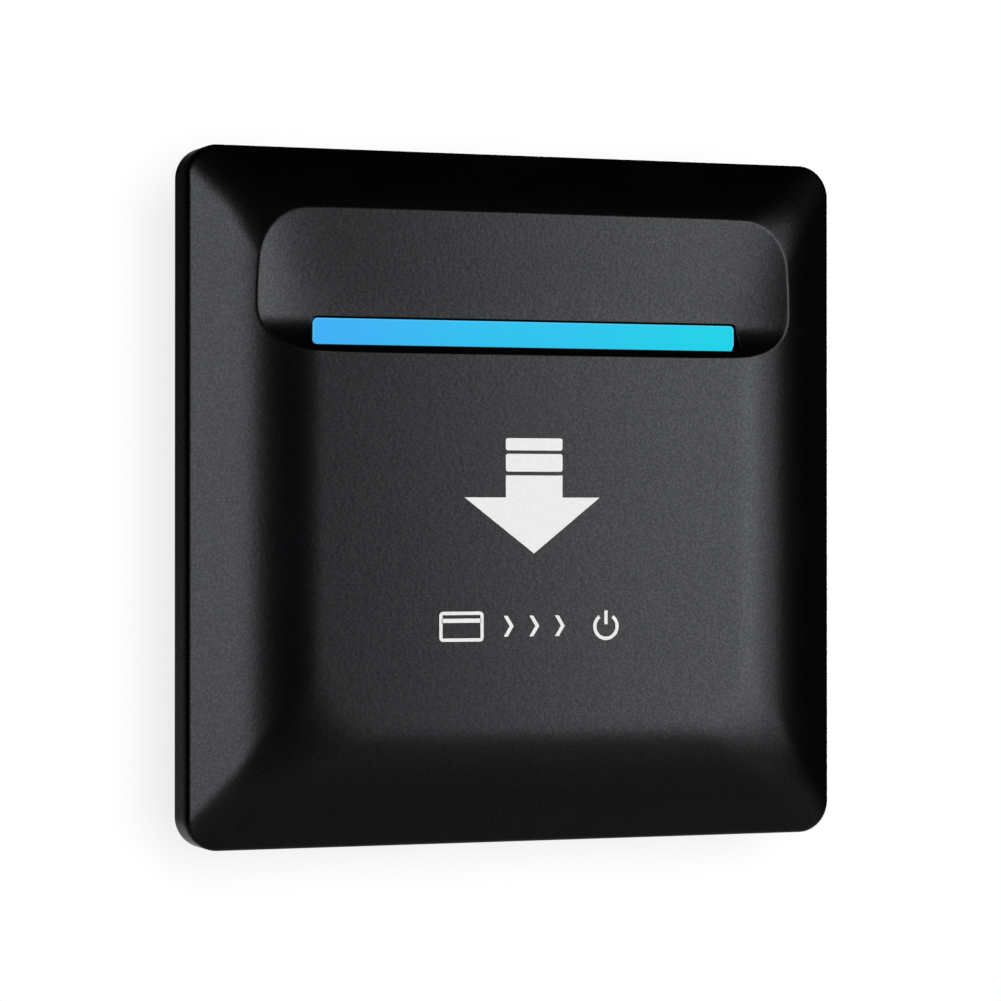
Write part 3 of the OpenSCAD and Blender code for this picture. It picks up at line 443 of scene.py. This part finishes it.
def scoop_height(x, z):
    """Height of the scoop: a round roll behind the lip, then a floor that climbs to its top as a hyperbola
    and to its ends as a high power of x. The two rises join as (climb^p + end^p)^(1 / p), where p is
    JOIN_POWER."""
    below = np.maximum(SCOOP_Z - z, 0.0)
    round_part = np.sqrt(np.maximum(SCOOP_R ** 2 - below ** 2, 0.0))
    roll = SCOOP_H - round_part + np.maximum(below - SCOOP_R, 0.0)
    climb = CLIMB * (np.hypot(np.maximum(z - SCOOP_Z, 0.0), CLIMB_EASE) - CLIMB_EASE)
    end = END_RISE * np.minimum(np.abs(x) / END_AT, END_CAP) ** END_POWER
    return roll + (climb ** JOIN_POWER + end ** JOIN_POWER) ** (1 / JOIN_POWER)


def round_square(half_x, half_z, radius, mid_z, counts):
    """A rounded rectangle as one closed ring: side and corner by turns. The counts are the points on a long
    side, on an end and on a corner."""
    reach_x, reach_z = half_x - radius, half_z - radius
    runs = []
    for quarter in range(4):
        turn = math.pi / 2 * quarter
        count = counts[1] if quarter % 2 == 0 else counts[0]
        share = np.arange(count) / count * 2.0 - 1.0
        out = half_x if quarter % 2 == 0 else half_z
        slide = reach_z if quarter % 2 == 0 else reach_x
        side = np.stack([np.full(count, out), share * slide], axis=1)
        way = np.array([[math.cos(turn), math.sin(turn)], [-math.sin(turn), math.cos(turn)]])
        runs.append(side @ way)
        angle = turn + math.pi / 2 * np.arange(counts[2]) / counts[2]
        signs = np.sign([math.cos(turn + math.pi / 4), math.sin(turn + math.pi / 4)])
        corner = signs * [reach_x, reach_z]
        runs.append(corner + radius * np.stack([np.cos(angle), np.sin(angle)], axis=1))
    ring = np.concatenate(runs)
    ring[:, 1] += mid_z
    return ring


def grid_faces(rows, columns, closed, start):
    """Four-sided faces over a grid that closes on itself across its columns. Its rows close on themselves
    too, or else its first and last row each get one cap, which come last in the list."""
    r, c = np.meshgrid(np.arange(rows if closed else rows - 1), np.arange(columns), indexing="ij")
    r2, c2 = (r + 1) % rows, (c + 1) % columns
    quads = np.stack([r * columns + c, r * columns + c2, r2 * columns + c2, r2 * columns + c], axis=-1)
    faces = (quads.reshape(-1, 4) + start).tolist()
    if not closed:
        first = np.arange(columns) + start
        faces += [first[::-1].tolist(), (first + (rows - 1) * columns).tolist()]
    return faces


def shell(name, grids, finish, body):
    """One object from closed grids of points in millimetres, turned so that every grid faces outwards.
    It rides on a body, or on none when none is given."""
    points, faces, start = [], [], 0
    for grid, closed in grids:
        rows, columns = grid.shape[:2]
        nxt = np.roll(grid, -1, axis=1)
        lower = grid if closed else grid[:-1]
        upper = np.roll(grid, -1, axis=0) if closed else grid[1:]
        side = np.roll(upper, -1, axis=1)
        beside = nxt if closed else nxt[:-1]
        middle = grid.reshape(-1, 3).mean(axis=0)
        volume = np.einsum("rci,rci->", lower - middle, np.cross(beside - middle, side - middle))
        volume += np.einsum("rci,rci->", lower - middle, np.cross(side - middle, upper - middle))
        flat = grid[:, ::-1] if volume < 0 else grid
        points.append(flat.reshape(-1, 3))
        faces += grid_faces(rows, columns, closed, start)
        start += rows * columns
    mesh = bpy.data.meshes.new(name)
    mesh.from_pydata((np.concatenate(points) * MM).tolist(), [], faces)
    mesh.polygons.foreach_set("use_smooth", np.ones(len(mesh.polygons), dtype=bool))
    mesh.set_sharp_from_angle(angle=math.radians(CRISP_ANGLE))
    mesh.materials.append(finish)
    piece = bpy.data.objects.new(name, mesh)
    bpy.context.scene.collection.objects.link(piece)
    if body:
        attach(piece, body)
    return piece


def standing(ring, height):
    """Points over a ring in x and z, at a height towards the front, which is -y."""
    return np.stack([ring[..., 0], -np.broadcast_to(height, ring.shape[:-1]), ring[..., 1]], axis=-1)


def rim_ring(inset):
    """The plate's outline moved in by an inset, with the corner radius that belongs to it."""
    return round_square(HALF - inset, HALF - inset, CORNER_R + CORNER_GAIN * inset, 0.0, COLUMNS)


def crease_along(start, way):
    """Distance from the slot, on each ray, at which the scoop comes out through the pillow, by bisection
    between the last sample where the scoop is lower and the next."""
    def above(share):
        spot = start + way * share[:, None]
        return scoop_height(spot[:, 0], spot[:, 1]) > pillow_height(inset_of(spot[:, 0], spot[:, 1]))
    samples = np.linspace(0.0, 1.0, CREASE_SAMPLES)
    first = np.argmax(np.stack([above(np.full(len(start), s)) for s in samples]), axis=0)
    low, high = samples[np.maximum(first - 1, 0)], samples[first]
    for _ in range(CREASE_HALVINGS):
        middle = (low + high) / 2
        out = above(middle)
        low, high = np.where(out, low, middle), np.where(out, middle, high)
    return (low + high) / 2


def fold_drop(spot):
    """How far a fillet of radius LIP_R lies below the fold: r (1 / cos(half the turn) - 1), where the turn
    comes from the slope of scoop less pillow."""
    def difference(dx, dz):
        x, z = spot[:, 0] + dx, spot[:, 1] + dz
        return scoop_height(x, z) - pillow_height(inset_of(x, z))
    step = SLOPE_STEP
    slope = np.hypot(difference(step, 0) - difference(-step, 0), difference(0, step) - difference(0, -step))
    return LIP_R * (1.0 / np.cos(np.arctan(slope / (2 * step)) / 2) - 1.0)


def slot_mouth(extra):
    """The slot's outline at the scoop, widened by extra. Its ends stand in by SLOT_NARROW and lean out by
    SLOT_DRAFT for each unit that the scoop rises."""
    half_x = SLOT_HALF[0] - SLOT_NARROW + extra
    ring = round_square(half_x, SLOT_HALF[1] + extra, SLOT_R + extra, SLOT_Z, COLUMNS)
    lean = SLOT_DRAFT * (scoop_height(ring[:, 0], ring[:, 1]) - FLOOR_H)
    return ring + np.stack([lean * ring[:, 0] / half_x, np.zeros(len(ring))], axis=1)


slot_ring = round_square(*SLOT_HALF, SLOT_R, SLOT_Z, COLUMNS)
mouth_ring = slot_mouth(0.0)
broken_ring = slot_mouth(EDGE_BREAK)
rays = rim_ring(EDGE_IN) - broken_ring
length = np.linalg.norm(rays, axis=1)
crease = crease_along(broken_ring, rays)
drop = fold_drop(broken_ring + rays * crease[:, None])
spread = np.minimum(FOLD_REACH / length, FOLD_SHARE * crease)
shares = np.concatenate([
    (crease - spread) * np.linspace(0.0, 1.0, SCOOP_ROWS)[:-1, None],
    crease + spread * np.linspace(-1.0, 1.0, FOLD_ROWS)[:, None],
    crease + spread + (1.0 - crease - spread) * np.linspace(0.0, 1.0, PILLOW_ROWS)[1:, None],
])
outer = broken_ring + rays * shares[..., None]
scoop = scoop_height(outer[..., 0], outer[..., 1])
pillow = pillow_height(inset_of(outer[..., 0], outer[..., 1]))
outer_h = (scoop + pillow) / 2 - np.sqrt(((scoop - pillow) / 2) ** 2 + drop ** 2)

turns = np.radians(np.linspace(90.0 + BEVEL_ANGLE, 180.0, EDGE_TURNS)[1:])
rim_rows = [standing(rim_ring(EDGE_R * (1 + math.cos(a))), EDGE_FOOT + EDGE_R * math.sin(a)) for a in turns]
skirt_rows = [standing(rim_ring(0.0), h) for h in SKIRT_HEIGHTS] + [standing(rim_ring(FOOT_BREAK), 0.0)]
foot_ring = round_square(HALF - SKIRT, HALF - SKIRT, CORNER_R - SKIRT, 0.0, COLUMNS)
foot_rows = [standing(foot_ring, h) for h in INNER_HEIGHTS]

inner_share = np.linspace(0.0, 1.0, INNER_ROWS)[1:, None, None]
inner = foot_ring + (slot_ring - foot_ring) * inner_share
inner_inset = inset_of(inner[..., 0], inner[..., 1])
inner_slope = np.clip((ROLL_END - inner_inset) / (ROLL_END - BEVEL_END), 0.0, 1.0) * BEVEL
inner_h = pillow_height(inner_inset) - WALL * np.sqrt(1.0 + inner_slope ** 2)
behind_floor = soft_step(inner[..., 1], SLOT_Z - UNDER_EASE, SLOT_Z + UNDER_EASE)
behind_cheek = soft_step(inner[..., 1], *CHEEK_Z) * soft_step(np.abs(inner[..., 0]), *CHEEK_X)
inner_h = inner_h - np.maximum(inner_h - UNDER_H, 0.0) * np.maximum(behind_floor, behind_cheek)

mouth_h = scoop_height(mouth_ring[:, 0], mouth_ring[:, 1]) - EDGE_BREAK
cover_grid = np.concatenate([
    standing(mouth_ring, mouth_h)[None],
    standing(outer, outer_h),
    np.stack(rim_rows + skirt_rows + foot_rows),
    standing(inner, inner_h),
])


def turned(profile, x, z, count):
    """A round pin along Y: each radius and height of the profile carried once round its axis."""
    angle = 2 * math.pi * np.arange(count) / count
    radius, height = np.array(profile).T
    return np.stack([x + radius[:, None] * np.cos(angle), -np.repeat(height[:, None], count, axis=1),
                     z + radius[:, None] * np.sin(angle)], axis=-1)


pins = [(turned(PIN_PROFILE, x * PIN_AT, z * PIN_AT, PIN_SIDES), False) for x in (-1, 1) for z in (-1, 1)]

GRAIN = 0.00013
PEBBLE = 0.0005
PEBBLE_DEPTH = 0.000007
SPARKLE = 0.00025
CLOUD = 0.009
black = Finish("black_plastic")
grain = black.mottle(GRAIN)
pebble = black.mottle(PEBBLE, 0.0)
sparkle = black.mottle(SPARKLE, 1.0)
cloud = black.mottle(CLOUD, 3.0)
cover_finish = black.surface({
    "Base Color": black.tint(cloud.ramp(0.3, 0.7), shade(0.6, 1.0, 1.8), shade(1.4, 2.0, 3.2)),
    "Roughness": 0.22 + 0.03 * cloud + 0.08 * grain,
    "Specular IOR Level": 0.216,
    "Specular Tint": (0.923, 0.948, 1.0, 1.0),
    "Coat Weight": 0.16 * sparkle.ramp(0.4, 0.65),
    "Coat Roughness": 0.26,
    "Normal": black.relief(pebble, PEBBLE_DEPTH),
})
cover = shell("cover_moulding", [(cover_grid, True)] + pins, cover_finish, "cover")
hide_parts("front_cover")

# The slot's walls keep the dull black of the mould, so the last row of faces of the cover's grid,
# which joins its inside to the mouth of the slot, gets a finish of its own.
WALL_GRAIN = 0.0005
dull = Finish("slot_walls")
wall_tint = dull.tint(dull.mottle(WALL_GRAIN), shade(1, 1, 1), shade(3, 3, 3))
slot_walls = dull.surface({"Base Color": wall_tint, "Roughness": 0.9, "Specular IOR Level": 0.0})
cover.data.materials.append(slot_walls)
wall_end = cover_grid.shape[0] * cover_grid.shape[1]
on_wall = np.zeros(len(cover.data.polygons), dtype=np.int32)
on_wall[wall_end - cover_grid.shape[1]:wall_end] = 1
cover.data.polygons.foreach_set("material_index", on_wall)

# Print on the face: white pad-printed ink a few hundredths thick, an arrow that points the way the card goes
# and below it a row of plain signs, a card, three chevrons and a power ring.
INK_BACK = 11.165
INK_FRONT = 11.198
INK_EDGE = 0.02
STEM_HALF = 7.55 / 2
STEM_TOP = 2.79
HEAD_TOP = 0.06
HEAD_LEFT = 9.22
HEAD_RIGHT = 8.76
ARROW_TIP = (-0.03, -6.9)
DASHES = [(3.24, 5.46), (5.86, 7.4)]
DASH_R = 0.3
SIGN_X = 9.6
SIGN_Z = -15.85
CARD_HALF = (2.9, 1.85)
CARD_R = 0.5
CARD_LINE = 0.42
STRIPE = (0.45, 1.0)
STRIPE_LONG = 5.2
STRIPE_R = 0.05
CHEVRON = [(0.8, 0.0), (0.0, -1.3), (0.55, -1.3), (1.35, 0.0), (0.55, 1.3), (0.0, 1.3)]
CHEVRON_MID = 0.67
CHEVRON_AT = (-3.4, 0.0, 3.4)
POWER_R = 1.5
POWER_DOWN = 0.15
POWER_LINE = 0.46
POWER_ARC = (125.0, 415.0)
POWER_BAR = (0.1, 1.85)
POWER_BAR_R = 0.1
ARC_POINTS = 40
BAR_COUNTS = (2, 2, 6)
CARD_COUNTS = (6, 6, 8)


def ink(outline):
    """A thin slab of ink: the outline at the face, and the same outline drawn in slightly at the front."""
    ring = np.array(outline, dtype=float)
    ahead, behind = np.roll(ring, -1, axis=0) - ring, ring - np.roll(ring, 1, axis=0)
    ahead = ahead / np.linalg.norm(ahead, axis=1, keepdims=True)
    behind = behind / np.linalg.norm(behind, axis=1, keepdims=True)
    mean = ahead + behind
    inward = np.stack([-mean[:, 1], mean[:, 0]], axis=1) / np.linalg.norm(mean, axis=1, keepdims=True)
    return np.stack([standing(ring, INK_BACK), standing(ring + INK_EDGE * inward, INK_FRONT)]), False


def bar(mid_x, low_z, high_z, width, radius):
    """A printed bar with round corners."""
    half = (high_z - low_z) / 2
    return ink(round_square(width / 2, half, radius, 0.0, BAR_COUNTS) + [mid_x, (low_z + high_z) / 2])


def arc_band(mid, radius, width, start, end):
    """A band of ink along part of a circle, out on the outer radius and back on the inner one."""
    angle = np.radians(np.linspace(start, end, ARC_POINTS))
    way = np.stack([np.cos(angle), np.sin(angle)], axis=1)
    return ink(np.concatenate([way * (radius + width / 2), way[::-1] * (radius - width / 2)]) + mid)


def ring_band(mid, half, radius, width):
    """A closed band of ink round a rounded rectangle, as a square tube that closes on itself."""
    outside = round_square(half[0], half[1], radius, 0.0, CARD_COUNTS) + mid
    inside = round_square(half[0] - width, half[1] - width, radius - width, 0.0, CARD_COUNTS) + mid
    return np.stack([standing(outside, INK_BACK), standing(outside, INK_FRONT),
                     standing(inside, INK_FRONT), standing(inside, INK_BACK)]), True


arrow = [(STEM_HALF, STEM_TOP), (-STEM_HALF, STEM_TOP), (-STEM_HALF, HEAD_TOP), (-HEAD_LEFT, HEAD_TOP),
         ARROW_TIP, (HEAD_RIGHT, HEAD_TOP), (STEM_HALF, HEAD_TOP)]
arrow_ink = [ink(arrow)] + [bar(0.0, low_z, high_z, 2 * STEM_HALF, DASH_R) for low_z, high_z in DASHES]
card_sign = [ring_band((-SIGN_X, SIGN_Z), CARD_HALF, CARD_R, CARD_LINE),
             bar(-SIGN_X, SIGN_Z + STRIPE[0], SIGN_Z + STRIPE[1], STRIPE_LONG, STRIPE_R)]
chevron_signs = [ink(np.array(CHEVRON) + [mid_x - CHEVRON_MID, SIGN_Z]) for mid_x in CHEVRON_AT]
power_sign = [arc_band((SIGN_X, SIGN_Z - POWER_DOWN), POWER_R, POWER_LINE, *POWER_ARC),
              bar(SIGN_X, SIGN_Z + POWER_BAR[0], SIGN_Z + POWER_BAR[1], POWER_LINE, POWER_BAR_R)]

INK_GRAIN = 0.0004
INK_DEPTH = 0.000006
white = Finish("white_print")
cover_of_ink = white.mottle(INK_GRAIN, 3.0)
print_finish = white.surface({
    "Base Color": white.tint(cover_of_ink.ramp(0.3, 0.8), shade(244, 244, 244), shade(236, 236, 237)),
    "Roughness": 0.42 + 0.1 * cover_of_ink,
    "Specular IOR Level": 0.2,
    "Normal": white.relief(cover_of_ink, INK_DEPTH),
})
shell("print_arrow", arrow_ink, print_finish, "cover")
shell("print_signs", card_sign + chevron_signs + power_sign, print_finish, "cover")

# Microswitch plunger: the red acetal button that the lever presses as a card goes in.
# It slides in the switch's dark body, and its tip is rounded where the lever's pad rolls on it.
TIP_R = 0.3
TIP_TURNS = 7
PLUNGER_R = 0.35
PLUNGER_COUNTS = (8, 6, 6)

low, high = (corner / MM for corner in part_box("microswitch_plunger"))
plunger_half = (high - low) / 2
plunger_mid_z = (low[2] + high[2]) / 2


def plunger_row(inset, height):
    """The button's outline drawn in by an inset, at a height towards the front."""
    half_x, half_z = plunger_half[0] - inset, plunger_half[2] - inset
    return standing(round_square(half_x, half_z, PLUNGER_R, plunger_mid_z, PLUNGER_COUNTS), height)


tip_turns = np.radians(np.linspace(0.0, 90.0, TIP_TURNS))
tip_rows = [plunger_row(TIP_R * (1 - math.cos(a)), -low[1] - TIP_R * (1 - math.sin(a))) for a in tip_turns]
plunger_grid = np.stack([plunger_row(0.0, -high[1])] + tip_rows)
plunger_red = moulded("plunger_red", (200, 52, 42), (184, 44, 36), grain=0.0003, depth=0.000006, rough=0.3)
plunger = shell("plunger_button", [(plunger_grid, False)], plunger_red, "plunger")
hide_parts("microswitch_plunger")

# Lever spring: drawn wire wound round the lever's pin, with a hook behind the lever and a leg on the tray.
# The hook swings with the lever while the coil and the leg stay; here the wire is put on no body.
WIRE_R = 0.2
WIRE_SIDES = 12
WIRE_ASIDE = (0.3, 0.2, 0.93)
COIL_R = 1.3
COIL_START = 4.5
COIL_END = 6.0
COIL_AT = (-2.9, -8.0)
COIL_TURNS = 3
COIL_POINTS = 90
HOOK_Z = -12.0
HOOK_R = 0.4
HOOK_TIP = 2.0
HOOK_POINTS = 7
ARM_POINTS = 5
RISE_POINTS = 16
LEG_END = (-4.05, -3.4)
LEG_POINTS = 8


def tube(line, radius, sides):
    """A round wire along a line: rings square to it, set by one way that the line never takes."""
    way = np.gradient(line, axis=0)
    across = np.cross(way, WIRE_ASIDE)
    across /= np.linalg.norm(across, axis=1, keepdims=True)
    up = np.cross(way, across)
    up /= np.linalg.norm(up, axis=1, keepdims=True)
    angle = 2 * math.pi * np.arange(sides)[:, None] / sides
    return line[:, None] + radius * (np.cos(angle) * across[:, None] + np.sin(angle) * up[:, None])


leg_way = np.subtract(LEG_END, COIL_AT)
leg_angle = math.atan2(leg_way[1], leg_way[0]) - math.acos(COIL_R / np.hypot(*leg_way))
coil_stop = 2 * math.pi * COIL_TURNS + leg_angle
wound = np.linspace(0.0, coil_stop, COIL_POINTS)
coil = np.stack([COIL_START + (COIL_END - COIL_START) * wound / coil_stop,
                 COIL_AT[0] + COIL_R * np.cos(wound), COIL_AT[1] + COIL_R * np.sin(wound)], axis=1)
bend = np.linspace(0.0, math.pi / 2, HOOK_POINTS)[:, None]
hook_bend = np.hstack([COIL_START - HOOK_R * (1 - np.sin(bend)), np.full((HOOK_POINTS, 1), coil[0, 1]),
                       HOOK_Z + HOOK_R * (1 - np.cos(bend))])
hook_arm = np.linspace((HOOK_TIP, coil[0, 1], HOOK_Z), hook_bend[0], ARM_POINTS)[:-1]
hook_rise = np.linspace(hook_bend[-1], coil[0], RISE_POINTS)[1:-1]
leg = np.linspace(coil[-1], (COIL_END, *LEG_END), LEG_POINTS)[1:]
spring_line = np.concatenate([hook_arm, hook_bend, hook_rise, coil, leg])
spring_wire = plated("spring_wire", (168, 169, 171), (150, 151, 154), rough=0.26)
spring_grid = tube(spring_line, WIRE_R, WIRE_SIDES)
spring = shell("spring_wire", [(spring_grid, False)], spring_wire, None)
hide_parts("lever_spring")
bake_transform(spring)

# Floor: a pale round sheet well below the object, which fades out before the backdrop.
# It takes the object's shadow, and a part of its brightness is seen by the camera alone.
FLOOR_Z = -0.3
FLOOR_REACH = (0.02, 1.45)
FLOOR_FADE = (0.6, 1.4)
FLOOR_RINGS = 24
FLOOR_SIDES = 96
FLOOR_GREY = (0.5, 0.5, 0.5, 1.0)
FLOOR_GLOW = (0.7, 0.7, 0.7, 1.0)
DARK = (0.0, 0.0, 0.0, 1.0)


def stage_sheet(name, points, faces, finish):
    """A sheet of the stage from a grid of points in metres."""
    mesh = bpy.data.meshes.new(name)
    mesh.from_pydata(points.reshape(-1, 3).tolist(), [], faces)
    mesh.materials.append(finish)
    sheet = bpy.data.objects.new(name, mesh)
    bpy.context.scene.collection.objects.link(sheet)


around = np.linspace(0.0, 2 * math.pi, FLOOR_SIDES + 1)[:-1]
reach = np.linspace(*FLOOR_REACH, FLOOR_RINGS)[:, None]
floor_z = np.full((FLOOR_RINGS, FLOOR_SIDES), FLOOR_Z)
floor_points = np.stack([reach * np.cos(around), reach * np.sin(around), floor_z], axis=-1)
pale = Finish("pale_floor")
far = pale.node("ShaderNodeVectorMath", {"operation": "LENGTH"}, {0: pale.place()}, "Value")
matt = pale.node("ShaderNodeBsdfDiffuse", None, {"Color": FLOOR_GREY})
looked_at = pale.node("ShaderNodeLightPath", output="Is Camera Ray")
floor_glow = pale.node("ShaderNodeEmission", None, {"Color": pale.tint(looked_at, DARK, FLOOR_GLOW)})
lit = pale.node("ShaderNodeAddShader", None, {0: matt, 1: floor_glow})
clear = pale.node("ShaderNodeBsdfTransparent")
faded = pale.node("ShaderNodeMixShader", None, {0: far.ramp(*FLOOR_FADE), 1: lit, 2: clear})
stage_sheet("floor", floor_points, grid_faces(FLOOR_RINGS, FLOOR_SIDES, False, 0)[:-1], pale.end(faded))

# Shade on the backdrop: a faint band round the plate, where it would stand against a white wall.
# It is deepest at the plate, lies a little to the left and below, and fades out in a few millimetres.
SHADE_AT = (-0.004, -0.00165)
SHADE_HALF = (HALF * MM, HALF * MM)
SHADE_R = 0.009
SHADE_REACH = 0.0046
SHADE_DEPTH = 0.2
SHADE_POWER = 1.3
BAND_REACH = (-2.05, 9.6)
BAND_RINGS = 16
BAND_COUNTS = (30, 30, 12)
BAND_BEHIND = -0.05


def band_ring(out):
    """The plate's outline moved out by a distance."""
    return round_square(HALF + out, HALF + out, CORNER_R + out, 0.0, BAND_COUNTS)


band_rings = np.stack([band_ring(out) for out in np.linspace(*BAND_REACH, BAND_RINGS)])
band_points = standing(band_rings, BAND_BEHIND)
band_faces = grid_faces(*band_points.shape[:2], False, 0)[:-2]
dim = Finish("backdrop_shade")
outside = past_outline(dim, SHADE_AT, SHADE_HALF, SHADE_R)
nearness = ((SHADE_REACH - outside) / (2 * SHADE_REACH)).larger(0.0)
shadow = dim.node("ShaderNodeEmission", None, {"Color": DARK})
unshaded = dim.node("ShaderNodeBsdfTransparent")
shaded = nearness ** SHADE_POWER * SHADE_DEPTH
thin = dim.node("ShaderNodeMixShader", None, {0: shaded, 1: unshaded, 2: shadow})
stage_sheet("backdrop_shade", band_points * MM, band_faces, dim.end(thin))

# Room: a white backdrop in the world, which the camera sees all round and gloss sees only straight behind.
# Soft boxes stand at the left, the right and the back, and the camera is at the photograph's place.
BACKDROP_WAY = Vector((0.355, 0.93, -0.3)).normalized()
BACKDROP_RAMP = (0.79, 0.93)
ROOM_GREY = (0.01, 0.01, 0.01, 1.0)
ROOM_WHITE = (1.0, 1.0, 1.0, 1.0)
BOX_FAR = 0.9
BOX_TALL = 0.6
BOX_Z = 0.1
VIEW_FROM = Vector((-0.16708, -0.43951, -0.00296))
VIEW_WAY = Vector((0.35491, 0.93488, 0.00574)).normalized()
LENS = 133.5
SENSOR = 36.0
NEAREST = 0.01

world = bpy.data.worlds.new("studio")
bpy.context.scene.world = world
room = Finish("studio", world)
way = room.node("ShaderNodeTexCoord", output="Generated")
ahead = room.node("ShaderNodeVectorMath", {"operation": "DOT_PRODUCT"}, {0: way, 1: BACKDROP_WAY}, "Value")
seen = room.node("ShaderNodeLightPath", output="Is Camera Ray")
mirrored = room.node("ShaderNodeLightPath", output="Is Glossy Ray")
passed = room.node("ShaderNodeLightPath", output="Is Transmission Ray")
backdrop = seen.larger((mirrored + passed) * ahead.ramp(*BACKDROP_RAMP))
room_colour = room.tint(backdrop, ROOM_GREY, ROOM_WHITE)
room_light = room.node("ShaderNodeBackground", None, {"Color": room_colour, "Strength": 1.0})
room.node("ShaderNodeOutputWorld", None, {"Surface": room_light})
bpy.context.scene.view_settings.view_transform = "Standard"


def soft_box(name, turn, width, watts):
    """An area lamp on a circle round the object, a little above it, turned from straight ahead to +X."""
    lamp_data = bpy.data.lights.new(name, "AREA")
    lamp_data.shape = "RECTANGLE"
    lamp_data.size = width
    lamp_data.size_y = BOX_TALL
    lamp_data.energy = watts
    box = bpy.data.objects.new(name, lamp_data)
    angle = math.radians(turn)
    box.location = (BOX_FAR * math.sin(angle), -BOX_FAR * math.cos(angle), BOX_Z)
    box.rotation_euler = (math.pi / 2, 0.0, angle)
    box.visible_camera = False
    bpy.context.scene.collection.objects.link(box)


soft_box("right_box", turn=31.0, width=0.317, watts=3.8)
soft_box("right_wing", turn=48.0, width=0.221, watts=1.1)
soft_box("left_box", turn=-45.0, width=0.543, watts=4.75)
soft_box("back_box", turn=148.0, width=0.6, watts=7.0)

lens = bpy.data.cameras.new("photo_camera")
lens.sensor_fit = "HORIZONTAL"
lens.sensor_width = SENSOR
lens.lens = LENS
lens.clip_start = NEAREST
camera = bpy.data.objects.new("photo_camera", lens)
camera.location = VIEW_FROM
camera.rotation_euler = VIEW_WAY.to_track_quat("-Z", "Y").to_euler()
bpy.context.scene.collection.objects.link(camera)
bpy.context.scene.camera = camera
